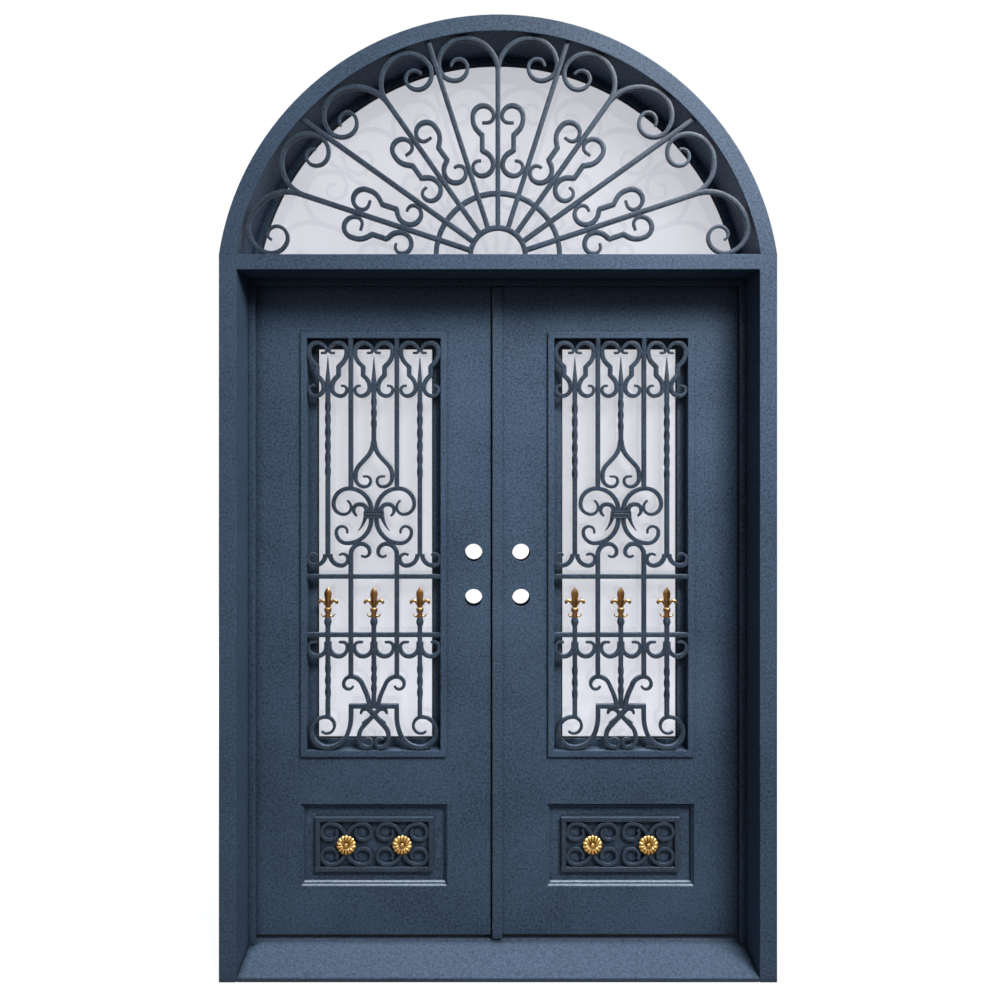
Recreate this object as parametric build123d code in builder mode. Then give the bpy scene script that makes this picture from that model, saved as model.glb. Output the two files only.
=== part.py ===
from build123d import *
from math import cos, radians, sin, sqrt
import os

# A double entry door of painted wrought iron under a segmental fanlight, in millimetres.
# +Z is up, +X is to the right seen from outside, and the outside faces -Y.
# The origin is the middle of the sill's underside, on the floor.

# Outer frame
frame_width = 1626
frame_height = 2819
frame_depth = 180
springing_height = 2121
jamb_face = 51
arch_face = 48
transom_height = 45
stop_width = 19
stop_thickness = 16

# Sill
sill_lip = 14
sill_crest = 34
threshold_height = 40

# Leaves
leaf_thickness = 50
leaf_bottom = 55
hinge_side_gap = 8
head_gap = 8
meeting_gap = 9
stop_clearance = 6
astragal_width = 30
astragal_proud = 8
sweep_clearance = 6
sweep_thickness = 12

# Lock bores
bore_radius = 27
bore_spacing = 139.7
bore_height = 1095
bore_from_middle = 73.5

# Window in each leaf
window_width = 412
top_rail = 172
window_bottom = 625
trim_width = 19
trim_proud = 8
glass_lip_inset = 25
glass_lip_thickness = 8
glass_lip_depth = 26
glass_thickness = 8
glass_edge_clearance = 1
bead_thickness = 8

# Ironwork of the windows, heights above the window's bottom edge and depths below its top edge
bar_width = 14
scroll_width = 14
grille_depth = 14
lyre_reach = 63.7
rail_width = 14
upper_rail_height = 536.5
lower_rail_height = 356.5
spear_tip_depth = 58
spear_base_depth = 128
kink_offset = 33
kink_depth = 88
kink_length = 26.5
heart_top_height = 955
side_curl_height = 605
big_scroll_height = 739
big_scroll_radius = 69
hook_spring_height = 604
hook_crown_height = 228
spike_foot_height = 390
side_foot_height = 99
pi_bar_height = 136
pi_half_width = 77
cross_drop = 27
collar_width = 62
collar_height = 24
collar_middle_height = 727.5
collar_proud = 3
collar_corner = 4
collar_rim = 4
collar_sink = 1.2
fleur_height = 112
fleur_thickness = 10
fleur_band_radius = 11.5
fleur_band_height = 39
fleur_band_thickness = 10
fleur_shank_radius = 7.5
fleur_socket_radius = 11.3
fleur_socket_height = 19
petal_foot_height = 48
petal_shoulder_height = 92
petal_half_width = 11.8

# Recessed lower panel
panel_width = 452
panel_height = 255
panel_bottom = 202
panel_slope = 7
panel_depth = 16
panel_frame_width = 366
panel_frame_height = 170
panel_frame_bar = 15
panel_bar_depth = 12
panel_scroll_bar = 11.5
rosette_radius = 28
rosette_offset = 86.5
rosette_thickness = 5
rosette_petals = 14
rosette_boss_radius = 6.5
rosette_boss_proud = 2

# Fanlight
fan_bar = 14.5
fan_set_back = 8
fan_thickness = 13
fan_ray_angles = (0, 17.8, 35.2, 54.4, 71.7)
fan_aim_drop = 12
fan_pattern_height = 650
fan_inner_ring = 80
fan_outer_ring = 181
fan_rim_gap = 2
fan_bead_depth = 10
fan_bead_width = 20
fan_glass_from_front = 150
fan_glass_thickness = 8
fan_lyre_reaches = (363, 367, 372)
fan_lyre_offset = 46
fan_kink = 44

# Hinges
hinge_heights = (260, 1060, 1860)
hinge_barrel_radius = 11
hinge_barrel_length = 120
hinge_pin_radius = 6
hinge_running_clearance = 0.05
hinge_pin_length = 50
hinge_end_gap = 0.3
hinge_wing_width = 42
hinge_wing_thickness = 5
hinge_axis_behind = 14

# Worked out from the sizes above
half_width = frame_width / 2
front = -frame_depth / 2
back = frame_depth / 2
inner_half = half_width - jamb_face
stop_inner = inner_half - stop_width
rise = frame_height - springing_height
arch_outer_radius = (half_width**2 + rise**2) / (2 * rise)
arch_inner_radius = arch_outer_radius - arch_face
arch_centre_height = frame_height - arch_outer_radius
transom_bottom = springing_height - transom_height
leaf_front = back - leaf_thickness
stop_back = leaf_front - stop_clearance
leaf_top = transom_bottom - head_gap
leaf_hinge_side = inner_half - hinge_side_gap
astragal_edge = astragal_width / 2
astragal_top = transom_bottom - stop_width - stop_clearance
window_x = (stop_inner + astragal_edge + meeting_gap / 2) / 2
glass_front = leaf_front + glass_lip_depth + glass_lip_thickness
glass_back = glass_front + glass_thickness
hinge_axis_x = inner_half - hinge_side_gap / 2
hinge_axis_y = back + hinge_axis_behind
sweep_bottom = threshold_height + sweep_clearance
window_height = leaf_top - top_rail - window_bottom
panel_floor = leaf_front + panel_depth
grille_back = leaf_front - trim_proud + grille_depth
fan_back = front + fan_set_back + fan_thickness
fan_scale = (rise - arch_face) / fan_pattern_height
aim_drop = fan_aim_drop * fan_scale
aim_rise = springing_height - aim_drop - arch_centre_height
inner_ring = fan_inner_ring * fan_scale
outer_ring = fan_outer_ring * fan_scale
fan_angles = [-angle for angle in fan_ray_angles[:0:-1]] + list(fan_ray_angles)
weld_lap = 0.5
seat_gap = 0.3
spear_pitch = window_width / 2 - lyre_reach - seat_gap
sides = (("left", -1), ("right", 1))

os.makedirs("parts", exist_ok=True)


def save(node, label):
    """Name a finished piece and write it as its own file."""
    node.part.label = label
    export_step(node.part, f"parts/{label}.step")


def upright_plane(x, y, z=0):
    """A plane that faces the outside, with its own x to the right and its own y up."""
    return Plane(origin=(x, y, z), x_dir=(1, 0, 0), z_dir=(0, -1, 0))


def step_end(point, heading, size, turn):
    """Where a straight run (turn 0) or an arc (turn in degrees, positive to the left) ends."""
    x, y = point
    if turn == 0:
        return (x + size * cos(radians(heading)), y + size * sin(radians(heading)))
    side = 1 if turn > 0 else -1
    centre_x = x - side * size * sin(radians(heading))
    centre_y = y + side * size * cos(radians(heading))
    after = radians(heading + turn)
    return (centre_x + side * size * sin(after), centre_y - side * size * cos(after))


def beside(point, heading, distance):
    """The point that lies a distance to the left of a heading."""
    angle = radians(heading)
    return (point[0] - distance * sin(angle), point[1] + distance * cos(angle))


def bar_edges(start, heading, steps, width, tip):
    """Outline of a bent bar of runs and tangent arcs, narrowing evenly towards its tip."""
    lengths = [size if turn == 0 else size * radians(abs(turn)) for size, turn in steps]
    total = sum(lengths)
    spans = []
    gone = 0
    point = start
    for (size, turn), length in zip(steps, lengths):
        middle = step_end(point, heading, size / 2 if turn == 0 else size, turn / 2)
        end = step_end(point, heading, size, turn)
        stations = []
        for place, angle, along in (
            (point, heading, gone),
            (middle, heading + turn / 2, gone + length / 2),
            (end, heading + turn, gone + length),
        ):
            half = (width + (tip - width) * along / total) / 2
            stations.append((beside(place, angle, half), beside(place, angle, -half)))
        spans.append((stations, turn))
        point = end
        heading += turn
        gone += length
    for side in (0, 1):
        for stations, turn in spans:
            if turn == 0:
                Line(stations[0][side], stations[2][side])
            else:
                ThreePointArc(stations[0][side], stations[1][side], stations[2][side])
    Line(*spans[0][0][0])
    Line(*spans[-1][0][2])


def quarters(*radii):
    """Quarter turns to the left, one for each radius."""
    return [(radius, 90) for radius in radii]


def turned_right(steps):
    """The same steps with every turn to the right."""
    return [(size, -turn) for size, turn in steps]


def mirrored(bar):
    """The same bar on the other side of the sketch's own y axis."""
    (x, y), heading, steps, width, tip = bar
    return ((-x, y), 180 - heading, turned_right(steps), width, tip)


def moved(bar, x, y=0):
    """The same bar shifted in the sketch."""
    start, heading, steps, width, tip = bar
    return ((start[0] + x, start[1] + y), heading, steps, width, tip)


def both(bar):
    """A bar and its mirror image."""
    return [bar, mirrored(bar)]


def on_ray(bar, angle):
    """A bar drawn beside an upright ray, turned with that ray about the point that all rays aim at."""
    (x, y), heading, steps, width, tip = bar
    turned_x = x * cos(radians(angle)) + y * sin(radians(angle))
    turned_y = y * cos(radians(angle)) - x * sin(radians(angle)) - aim_drop
    return ((turned_x, turned_y), heading - angle, steps, width, tip)


def scaled(steps, factor):
    """The same steps with every run and radius multiplied."""
    return [(size * factor, turn) for size, turn in steps]


def draw(bars, mode=Mode.ADD):
    """Add bent bars to the sketch, or cut them from it."""
    for bar in bars:
        with BuildSketch(Plane.XY) as shape:
            with BuildLine():
                bar_edges(*bar)
            make_face()
        add(shape.sketch, mode=mode)


def upright(x, low, high, width, mode=Mode.ADD):
    """A straight upright bar in the sketch."""
    with Locations((x, (low + high) / 2)):
        Rectangle(width, high - low, mode=mode)


def ring(outer_width, outer_height, inner_width, inner_height):
    """A rectangular ring about the middle of the sketch."""
    Rectangle(outer_width, outer_height)
    Rectangle(inner_width, inner_height, mode=Mode.SUBTRACT)


# Frame

for side, sign in sides:
    with BuildPart() as jamb:
        with BuildSketch(Plane.XY):
            with Locations((sign * (half_width - jamb_face / 2), 0)):
                Rectangle(jamb_face, frame_depth)
        extrude(amount=springing_height)
    save(jamb, f"{side}_jamb")

    with BuildPart() as stop:
        with BuildSketch(Plane.XY.offset(sill_crest)):
            with Locations((sign * (inner_half - stop_width / 2), stop_back - stop_thickness / 2)):
                Rectangle(stop_width, stop_thickness)
        extrude(amount=transom_bottom - stop_width - sill_crest)
    save(stop, f"{side}_stop")

with BuildPart() as head_stop:
    with BuildSketch(Plane.XY.offset(transom_bottom - stop_width)):
        with Locations((0, stop_back - stop_thickness / 2)):
            Rectangle(2 * inner_half, stop_thickness)
    extrude(amount=stop_width)
save(head_stop, "head_stop")

with BuildPart() as transom_bar:
    with BuildSketch(Plane.XY.offset(transom_bottom)):
        Rectangle(2 * inner_half, frame_depth)
    extrude(amount=transom_height)
save(transom_bar, "transom_bar")

with BuildPart() as arch_frame:
    with BuildSketch(upright_plane(0, back)):
        with Locations((0, arch_centre_height)):
            Circle(arch_outer_radius)
            Circle(arch_inner_radius, mode=Mode.SUBTRACT)
        with Locations((0, springing_height - frame_width)):
            Rectangle(2 * frame_width, 2 * frame_width, mode=Mode.SUBTRACT)
    extrude(amount=frame_depth)
save(arch_frame, "arch_frame")

with BuildPart() as sill:
    with BuildSketch(Plane.YZ.offset(-inner_half)):
        with BuildLine():
            Polyline(
                (front, 0),
                (back, 0),
                (back, threshold_height),
                (leaf_front, threshold_height),
                (leaf_front, sill_crest),
                (stop_back - stop_thickness, sill_crest),
                (front, sill_lip),
                close=True,
            )
        make_face()
    extrude(amount=2 * inner_half)
save(sill, "sill")


# Fanlight

def fan_rays(mode=Mode.ADD):
    """Nine rays: every other one stops where its rim scrolls have parted, and the rest reach the arch."""
    for number, angle in enumerate(fan_angles):
        foot = inner_ring + aim_drop * cos(radians(angle))
        if number % 2:
            end = ray_reach(angle, 0) + fan_bar
        else:
            end = max(rim_start(angle, -1), rim_start(angle, 1)) + fan_bar
        draw([on_ray(((0, foot), 90, [(end - foot, 0)], fan_bar, fan_bar), angle)], mode)


def ray_reach(angle, beside_ray, short=0):
    """How far up a ray, or a line beside it, the arch lies, less a distance."""
    across = beside_ray**2 + aim_rise**2 - 2 * beside_ray * aim_rise * sin(radians(angle))
    along = aim_rise * cos(radians(angle))
    return sqrt((arch_inner_radius - short) ** 2 - across + along**2) - along


def rim_radii(angle, side):
    """Radii of a rim scroll's quarter turns, on its ray's left (-1) or right (1) side."""
    rank = fan_ray_angles.index(abs(angle)) // 2
    outwards = side * angle >= 0
    return [radius * fan_scale for radius in rim_patterns[rank][0 if outwards else 1]]


def rim_start(angle, side):
    """Where a rim scroll leaves its ray, so that its widest turn just clears the arch."""
    first, second = rim_radii(angle, side)[:2]
    return ray_reach(angle, side * first, fan_rim_gap + second + fan_bar / 2) - (first - second)


def above_transom():
    """Cut away what a sketch of the fan has below the transom's top."""
    with Locations((0, frame_width)):
        Rectangle(2 * frame_width, 2 * frame_width, mode=Mode.INTERSECT)


# Quarter turns of the rim scrolls on a ray's outer and inner side: crown ray, middle rays, low rays
rim_patterns = (
    ((96, 77, 46, 38, 26, 22), (96, 77, 46, 38, 26, 22)),
    ((112, 75.6, 47.3, 39.4, 23.2, 28.2), (90.3, 72.4, 48, 36.4, 26, 25.7)),
    ((117.6, 76.5, 49.3, 35.2, 26.5, 17.1), (100.7, 76.9, 51.2, 35.2, 25.7, 20.8)),
)

with BuildPart() as fan_spokes:
    with BuildSketch(upright_plane(0, fan_back, springing_height)):
        fan_rays()
        Circle(inner_ring + fan_bar / 2)
        Circle(inner_ring - fan_bar / 2, mode=Mode.SUBTRACT)
        with Locations((0, arch_centre_height - springing_height)):
            Circle(arch_inner_radius, mode=Mode.INTERSECT)
        above_transom()
    extrude(amount=fan_thickness)
save(fan_spokes, "fan_rays")

with BuildPart() as fan_ring:
    with BuildSketch(upright_plane(0, fan_back, springing_height)):
        Circle(outer_ring + fan_bar / 2)
        Circle(outer_ring - fan_bar / 2, mode=Mode.SUBTRACT)
        fan_rays(Mode.SUBTRACT)
        above_transom()
    extrude(amount=fan_thickness)
save(fan_ring, "fan_ring")

with BuildPart() as rim_scrolls:
    with BuildSketch(upright_plane(0, fan_back, springing_height)):
        for angle in fan_angles[::2]:
            for side in (-1, 1):
                left = ((0, rim_start(angle, side)), 90, quarters(*rim_radii(angle, side)), fan_bar, fan_bar * 0.7)
                draw([on_ray(left if side < 0 else mirrored(left), angle)])
        fan_rays(Mode.SUBTRACT)
        above_transom()
    extrude(amount=fan_thickness)
save(rim_scrolls, "fan_rim_scrolls")

# A lyre's outer curl and its inner curl, left of an upright ray, with a straight waist between them
lyre_outer = [(18, 0), (50, -45), (8, 0), (31, -90), (30, -90), (20, -90), (14, 0)]
lyre_inner = [(14, 0), (40, -60), (33, -90), (26, -90), (18, -90), (6, 0)]

with BuildPart() as fan_lyres:
    with BuildSketch(upright_plane(0, fan_back, springing_height)):
        for angle in fan_angles[::2]:
            kink_reach = fan_lyre_reaches[fan_ray_angles.index(abs(angle)) // 2] * fan_scale
            beside_ray = -fan_lyre_offset * fan_scale
            waist = fan_kink * fan_scale
            for bar in (
                ((beside_ray, kink_reach), 135, scaled(lyre_outer, fan_scale), fan_bar, fan_bar * 0.7),
                ((beside_ray, kink_reach + 3), -90, [(waist + 6, 0)], fan_bar, fan_bar),
                ((beside_ray, kink_reach - waist), -30, scaled(lyre_inner, fan_scale), fan_bar, fan_bar * 0.7),
            ):
                draw(on_ray(half, angle) for half in both(bar))
        fan_rays(Mode.SUBTRACT)
        above_transom()
    extrude(amount=fan_thickness)
save(fan_lyres, "fan_lyres")


def fanlight_shape(inset):
    """The fanlight's opening, smaller by an inset all round."""
    with Locations((0, arch_centre_height)):
        Circle(arch_inner_radius - inset)
    with Locations((0, springing_height + inset + frame_width)):
        Rectangle(2 * (inner_half - inset), 2 * frame_width, mode=Mode.INTERSECT)


with BuildPart() as fan_bead:
    with BuildSketch(upright_plane(0, front + fan_glass_from_front)) as bead_sketch:
        fanlight_shape(0)
    extrude(amount=fan_bead_depth)
    with BuildSketch(upright_plane(0, front + fan_glass_from_front)):
        fanlight_shape(fan_bead_width)
    extrude(amount=fan_bead_depth, mode=Mode.SUBTRACT)
save(fan_bead, "fanlight_bead")

with BuildPart() as fan_glass:
    with BuildSketch(upright_plane(0, front + fan_glass_from_front + fan_glass_thickness)):
        fanlight_shape(glass_edge_clearance)
    extrude(amount=fan_glass_thickness)
save(fan_glass, "fanlight_glass")


# Ironwork of a window, drawn from the middle of the window's bottom edge

waist_x = bar_width / 2 + scroll_width / 2 - weld_lap
scroll_tip = scroll_width * 0.7


def window_bars(mode=Mode.ADD):
    """The upright bars and rails of a window."""
    for row in (-1, 0, 1):
        upper_foot = side_curl_height if row else heart_top_height
        upright(row * spear_pitch, upper_foot, window_height - spear_base_depth, bar_width, mode)
        lower_foot = side_foot_height if row else pi_bar_height
        upright(row * spear_pitch, lower_foot, spike_foot_height, bar_width, mode)
    for row in (-0.5, 0.5):
        upright(row * spear_pitch, big_scroll_height + big_scroll_radius, window_height, bar_width, mode)
        upright(row * spear_pitch, hook_crown_height, hook_spring_height, bar_width, mode)
    for height in (upper_rail_height, lower_rail_height):
        with Locations((0, height)):
            Rectangle(window_width, rail_width, mode=mode)


def spear_lyre(x):
    """The two halves of the lyre round a spear, hung from the window's top edge."""
    kink_height = window_height - kink_depth
    low_kink = kink_height - kink_length
    upper = [(14.5, 0), (50, -45), (3, 0), (25.5, -90), (25, -65), (10, -115), (6, 0)]
    lower = [(6, 0), (43.5, -50), (26, -90), (19.5, -90), (12, -90), (6, 0)]
    bars = [
        ((-kink_offset, kink_height), 135, upper, scroll_width, scroll_tip),
        ((-kink_offset, kink_height + 3), -90, [(kink_length + 6, 0)], scroll_width, scroll_width),
        ((-kink_offset, low_kink), -40, lower, scroll_width, scroll_tip),
    ]
    return [moved(half, x) for bar in bars for half in both(bar)]


def curl_pair(x, offset, height, steps):
    """Two curls that leave an upright bar on either side."""
    bar = ((-offset, height), -90, steps, scroll_width, scroll_tip)
    return [moved(half, x) for half in both(bar)]


heart = [(75, -43), (32, 0), (46, 43), (8, 0), (28, 90), (18.5, 90), (13.5, 90), (11, 0)]
big_scroll = quarters(big_scroll_radius, 48, 32, 22) + [(24, 60)]
low_scroll = [(26, 0)] + turned_right(quarters(74, 34, 18, 16) + [(12, 30)])
collar_curl = [(2, 0), (18, 90), (5, 0), (17, 90), (22, 60)]
collar_tail = [(95, -35)]
inward_hook = turned_right(quarters(33, 25, 15) + [(14, 50)])
side_curl = turned_right(quarters(35, 20, 16) + [(14, 50)])
rail_curl = [(14, 0), (30, -90), (26, -90), (3, 0), (14.5, -90), (12, 0)]
tall_hook = [(170, 16), (26, 0), (37, 66), (23, 90), (16, 90), (14, 75)]
pi_leg = [(30, 0), (150, -22), (66, -68), (50, -90), (44, -90), (27, -90), (24, -90), (20, -50)]
foot_upper = [(20, 0), (15, 47), (15, 90), (10, 10)]
foot_lower = [(48, 0), (48, 43), (6, 0), (26, 90), (13.5, 90), (13, 90), (9, 60)]
foot_spur = [(19, 0)]


def window_scrolls():
    """Every bent bar of a window's ironwork."""
    cross = pi_bar_height - cross_drop
    bars = []
    for row in (-1, 0, 1):
        bars += spear_lyre(row * spear_pitch)
        bars += curl_pair(row * spear_pitch, 4, lower_rail_height - rail_width - 8, rail_curl)
        if row:
            bars += curl_pair(row * spear_pitch, bar_width / 2, side_curl_height, side_curl)
    bars += both(((-2, heart_top_height), -90, heart, scroll_width, scroll_tip))
    bars += both(((-7.5, big_scroll_height), 90, big_scroll, scroll_width, scroll_tip))
    bars += both(((-8, big_scroll_height), -90, low_scroll, scroll_width, scroll_tip))
    bars += both(((-22.5, big_scroll_height), 90, collar_curl, scroll_width, scroll_tip))
    bars += both(((-24.5, big_scroll_height - 10), -97, collar_tail, scroll_width, 2.5))
    bars += both(((-spear_pitch / 2, hook_spring_height), 90, inward_hook, scroll_width, scroll_tip))
    bars += both(((-13, pi_bar_height), 98, tall_hook, scroll_width, scroll_tip))
    bars += both(((-pi_half_width + scroll_width / 2, pi_bar_height), -90, pi_leg, scroll_width, scroll_tip))
    bars += both(((0, cross), 133, foot_upper, scroll_width, scroll_tip))
    bars += both(((0, cross), -133, foot_lower, scroll_width, scroll_tip))
    bars += both(((-20, cross - 16), -145, foot_spur, 10, 8))
    bars.append(((-pi_half_width, pi_bar_height), 0, [(2 * pi_half_width, 0)], scroll_width, scroll_width))
    return bars


# One scroll of the lower panel's ironwork, from beneath a rosette's upper edge, to its left
panel_scroll = ((-2.4, 29.4), 120, [(12, 0), (48, 60), (27, 90), (22.5, 90), (16, 60)], panel_scroll_bar, 9)

# Side petal and small horn of a fleur-de-lis, left of its middle and above its foot
side_petal = ((-4, 52), 125, [(20, 0), (8, 155), (4, 0)], 9.5, 7.5)
horn = ((-5, 26), 200, [(7, 0), (6, -90)], 6, 2.5)


def flipped(bar):
    """The same bar upside down."""
    (x, y), heading, steps, width, tip = bar
    return ((x, -y), -heading, turned_right(steps), width, tip)


for side, sign in sides:
    x = sign * window_x
    if sign < 0:
        leaf_left, leaf_right = -leaf_hinge_side, -astragal_edge - meeting_gap
    else:
        leaf_left, leaf_right = -astragal_edge, leaf_hinge_side
    leaf_width = leaf_right - leaf_left
    leaf_height = leaf_top - leaf_bottom
    window_middle = window_bottom + window_height / 2
    panel_middle = panel_bottom + panel_height / 2
    lip_width = window_width - 2 * glass_lip_inset
    lip_height = window_height - 2 * glass_lip_inset

    with BuildPart() as slab:
        with BuildSketch(upright_plane((leaf_left + leaf_right) / 2, back, leaf_bottom)):
            Rectangle(leaf_width, leaf_height, align=(Align.CENTER, Align.MIN))
        extrude(amount=leaf_thickness)
        with BuildSketch(upright_plane(x, leaf_front + glass_lip_depth, window_middle)):
            Rectangle(window_width, window_height)
        extrude(amount=glass_lip_depth, mode=Mode.SUBTRACT)
        with BuildSketch(upright_plane(x, back, window_middle)):
            Rectangle(window_width, window_height)
        extrude(amount=back - glass_front, mode=Mode.SUBTRACT)
        with BuildSketch(upright_plane(x, glass_front, window_middle)):
            Rectangle(lip_width, lip_height)
        extrude(amount=glass_lip_thickness, mode=Mode.SUBTRACT)
        with BuildSketch(upright_plane(x, leaf_front, panel_middle)):
            Rectangle(panel_width, panel_height)
        with BuildSketch(upright_plane(x, panel_floor, panel_middle)):
            Rectangle(panel_width - 2 * panel_slope, panel_height - 2 * panel_slope)
        loft(mode=Mode.SUBTRACT)
        with BuildSketch(upright_plane(sign * bore_from_middle, back)):
            with Locations((0, bore_height), (0, bore_height + bore_spacing)):
                Circle(bore_radius)
        extrude(amount=leaf_thickness, mode=Mode.SUBTRACT)
    save(slab, f"{side}_leaf_slab")

    with BuildPart() as trim:
        with BuildSketch(upright_plane(x, leaf_front, window_middle)):
            ring(window_width + 2 * trim_width, window_height + 2 * trim_width, window_width, window_height)
        extrude(amount=trim_proud)
    save(trim, f"{side}_window_trim")

    with BuildPart() as glass:
        with BuildSketch(upright_plane(x, glass_back, window_middle)):
            Rectangle(window_width - 2 * glass_edge_clearance, window_height - 2 * glass_edge_clearance)
        extrude(amount=glass_thickness)
    save(glass, f"{side}_window_glass")

    with BuildPart() as bead:
        with BuildSketch(upright_plane(x, glass_back + bead_thickness, window_middle)):
            ring(window_width, window_height, lip_width, lip_height)
        extrude(amount=bead_thickness)
    save(bead, f"{side}_glazing_bead")

    with BuildPart() as bars:
        with BuildSketch(upright_plane(x, grille_back, window_bottom)):
            window_bars()
            for row in (-1, 0, 1):
                with BuildLine():
                    Polyline(
                        (row * spear_pitch - bar_width / 2, window_height - spear_base_depth),
                        (row * spear_pitch - 1, window_height - spear_tip_depth),
                        (row * spear_pitch + 1, window_height - spear_tip_depth),
                        (row * spear_pitch + bar_width / 2, window_height - spear_base_depth),
                        close=True,
                    )
                make_face()
        extrude(amount=grille_depth)
    save(bars, f"{side}_grille_bars")

    with BuildPart() as scrolls:
        with BuildSketch(upright_plane(x, grille_back, window_bottom)):
            draw(window_scrolls())
            window_bars(Mode.SUBTRACT)
            Rectangle(window_width, window_height, align=(Align.CENTER, Align.MIN), mode=Mode.INTERSECT)
        extrude(amount=grille_depth)
    save(scrolls, f"{side}_grille_scrolls")

    with BuildPart() as collar:
        with BuildSketch(upright_plane(x, grille_back - grille_depth, window_bottom + collar_middle_height)):
            RectangleRounded(collar_width, collar_height, collar_corner)
        extrude(amount=collar_proud)
        with BuildSketch(upright_plane(x, grille_back - grille_depth - collar_proud + collar_sink,
                                       window_bottom + collar_middle_height)):
            Rectangle(collar_width - 2 * collar_rim, collar_height - 2 * collar_rim)
        extrude(amount=collar_sink, mode=Mode.SUBTRACT)
    save(collar, f"{side}_grille_collar")

    fleur_foot = window_bottom + spike_foot_height
    fleur_middle = grille_back - grille_depth / 2
    with BuildPart() as fleurs:
        for row in (-1, 0, 1):
            fleur_x = x + row * spear_pitch
            band_top = fleur_band_height + fleur_band_thickness
            with BuildSketch(upright_plane(fleur_x, fleur_middle, fleur_foot)):
                with BuildLine():
                    Polyline(
                        (0, 0),
                        (fleur_shank_radius, 0),
                        (fleur_socket_radius, fleur_socket_height * 0.3),
                        (fleur_socket_radius, fleur_socket_height * 0.5),
                        (fleur_shank_radius, fleur_socket_height),
                        (fleur_shank_radius, fleur_band_height),
                        (fleur_band_radius, fleur_band_height + 2),
                        (fleur_band_radius, band_top - 2),
                        (fleur_shank_radius, band_top),
                        (0, band_top + 4),
                        close=True,
                    )
                make_face()
            revolve(axis=Axis((fleur_x, fleur_middle, 0), (0, 0, 1)))
            with BuildSketch(upright_plane(fleur_x, fleur_middle + fleur_thickness / 2, fleur_foot)):
                draw(both(side_petal) + both(horn))
                for lean in (-1, 1):
                    foot = (lean * 5.5, petal_foot_height)
                    shoulder = (lean * petal_half_width, petal_shoulder_height)
                    with BuildLine():
                        ThreePointArc(foot, (lean * 9.3, (petal_foot_height + petal_shoulder_height) / 2), shoulder)
                        ThreePointArc(shoulder, (lean * 7.6, (petal_shoulder_height + fleur_height) / 2 + 1),
                                      (0, fleur_height))
                        Polyline((0, fleur_height), (0, petal_foot_height), foot)
                    make_face()
            extrude(amount=fleur_thickness)
    save(fleurs, f"{side}_fleur_de_lis")

    with BuildPart() as panel_iron:
        with BuildSketch(upright_plane(x, panel_floor, panel_middle)):
            inner_width = panel_frame_width - 2 * panel_frame_bar
            inner_height = panel_frame_height - 2 * panel_frame_bar
            ring(panel_frame_width, panel_frame_height, inner_width, inner_height)
            for place in (-rosette_offset, rosette_offset):
                for half in both(panel_scroll):
                    draw([moved(half, place), moved(flipped(half), place)])
                with Locations((place, 0)):
                    Circle(rosette_radius)
        extrude(amount=panel_bar_depth)
    save(panel_iron, f"{side}_panel_grille")

    with BuildPart() as rosettes:
        with BuildSketch(upright_plane(x, panel_floor - panel_bar_depth, panel_middle)):
            for place in (-rosette_offset, rosette_offset):
                with Locations((place, 0)):
                    Circle(rosette_radius * 0.8)
                    with PolarLocations(rosette_radius * 0.79, rosette_petals):
                        Circle(rosette_radius * 0.2)
        extrude(amount=rosette_thickness)
        with BuildSketch(upright_plane(x, panel_floor - panel_bar_depth - rosette_thickness, panel_middle)):
            with Locations((-rosette_offset, 0), (rosette_offset, 0)):
                Circle(rosette_boss_radius)
        extrude(amount=rosette_boss_proud)
    save(rosettes, f"{side}_rosettes")

    with BuildPart() as sweep:
        with BuildSketch(Plane.XY.offset(sweep_bottom)):
            with Locations(((leaf_left + leaf_right) / 2, (leaf_front + back) / 2)):
                Rectangle(leaf_width, sweep_thickness)
        extrude(amount=leaf_bottom - sweep_bottom)
    save(sweep, f"{side}_bottom_sweep")

    axis_x = sign * hinge_axis_x
    half_barrel = hinge_barrel_length / 2 - hinge_end_gap / 2
    with BuildPart() as hinge_pins:
        for height in hinge_heights:
            low = height - hinge_barrel_length / 2
            with BuildSketch(Plane.XY.offset(low)):
                with Locations((axis_x, hinge_axis_y)):
                    Circle(hinge_barrel_radius)
                with Locations((axis_x + sign * hinge_wing_width / 2, back + hinge_wing_thickness / 2)):
                    Rectangle(hinge_wing_width, hinge_wing_thickness)
            extrude(amount=half_barrel)
            with BuildSketch(Plane.XY.offset(low + half_barrel)):
                with Locations((axis_x, hinge_axis_y)):
                    Circle(hinge_pin_radius)
            extrude(amount=hinge_pin_length)
    save(hinge_pins, f"{side}_hinge_pins")

    with BuildPart() as hinge_knuckles:
        for height in hinge_heights:
            low = height + hinge_end_gap / 2
            with BuildSketch(Plane.XY.offset(low)):
                with Locations((axis_x, hinge_axis_y)):
                    Circle(hinge_barrel_radius)
                with Locations((axis_x - sign * hinge_wing_width / 2, back + hinge_wing_thickness / 2)):
                    Rectangle(hinge_wing_width, hinge_wing_thickness)
            extrude(amount=half_barrel)
            with BuildSketch(Plane.XY.offset(low)):
                with Locations((axis_x, hinge_axis_y)):
                    Circle(hinge_pin_radius + hinge_running_clearance)
            extrude(amount=hinge_pin_length + 2, mode=Mode.SUBTRACT)
    save(hinge_knuckles, f"{side}_hinge_knuckles")

with BuildPart() as astragal:
    with BuildSketch(upright_plane(0, leaf_front, sweep_bottom)):
        Rectangle(astragal_width, astragal_top - sweep_bottom, align=(Align.CENTER, Align.MIN))
    extrude(amount=astragal_proud)
save(astragal, "astragal")
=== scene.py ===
"""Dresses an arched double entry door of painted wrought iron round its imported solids.

Sizes are given in millimetres in the classes and turned to metres when a mesh is made. The outside faces -Y,
+X is to the right seen from outside, and the floor is at Z 0.
"""
from __future__ import annotations

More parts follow.
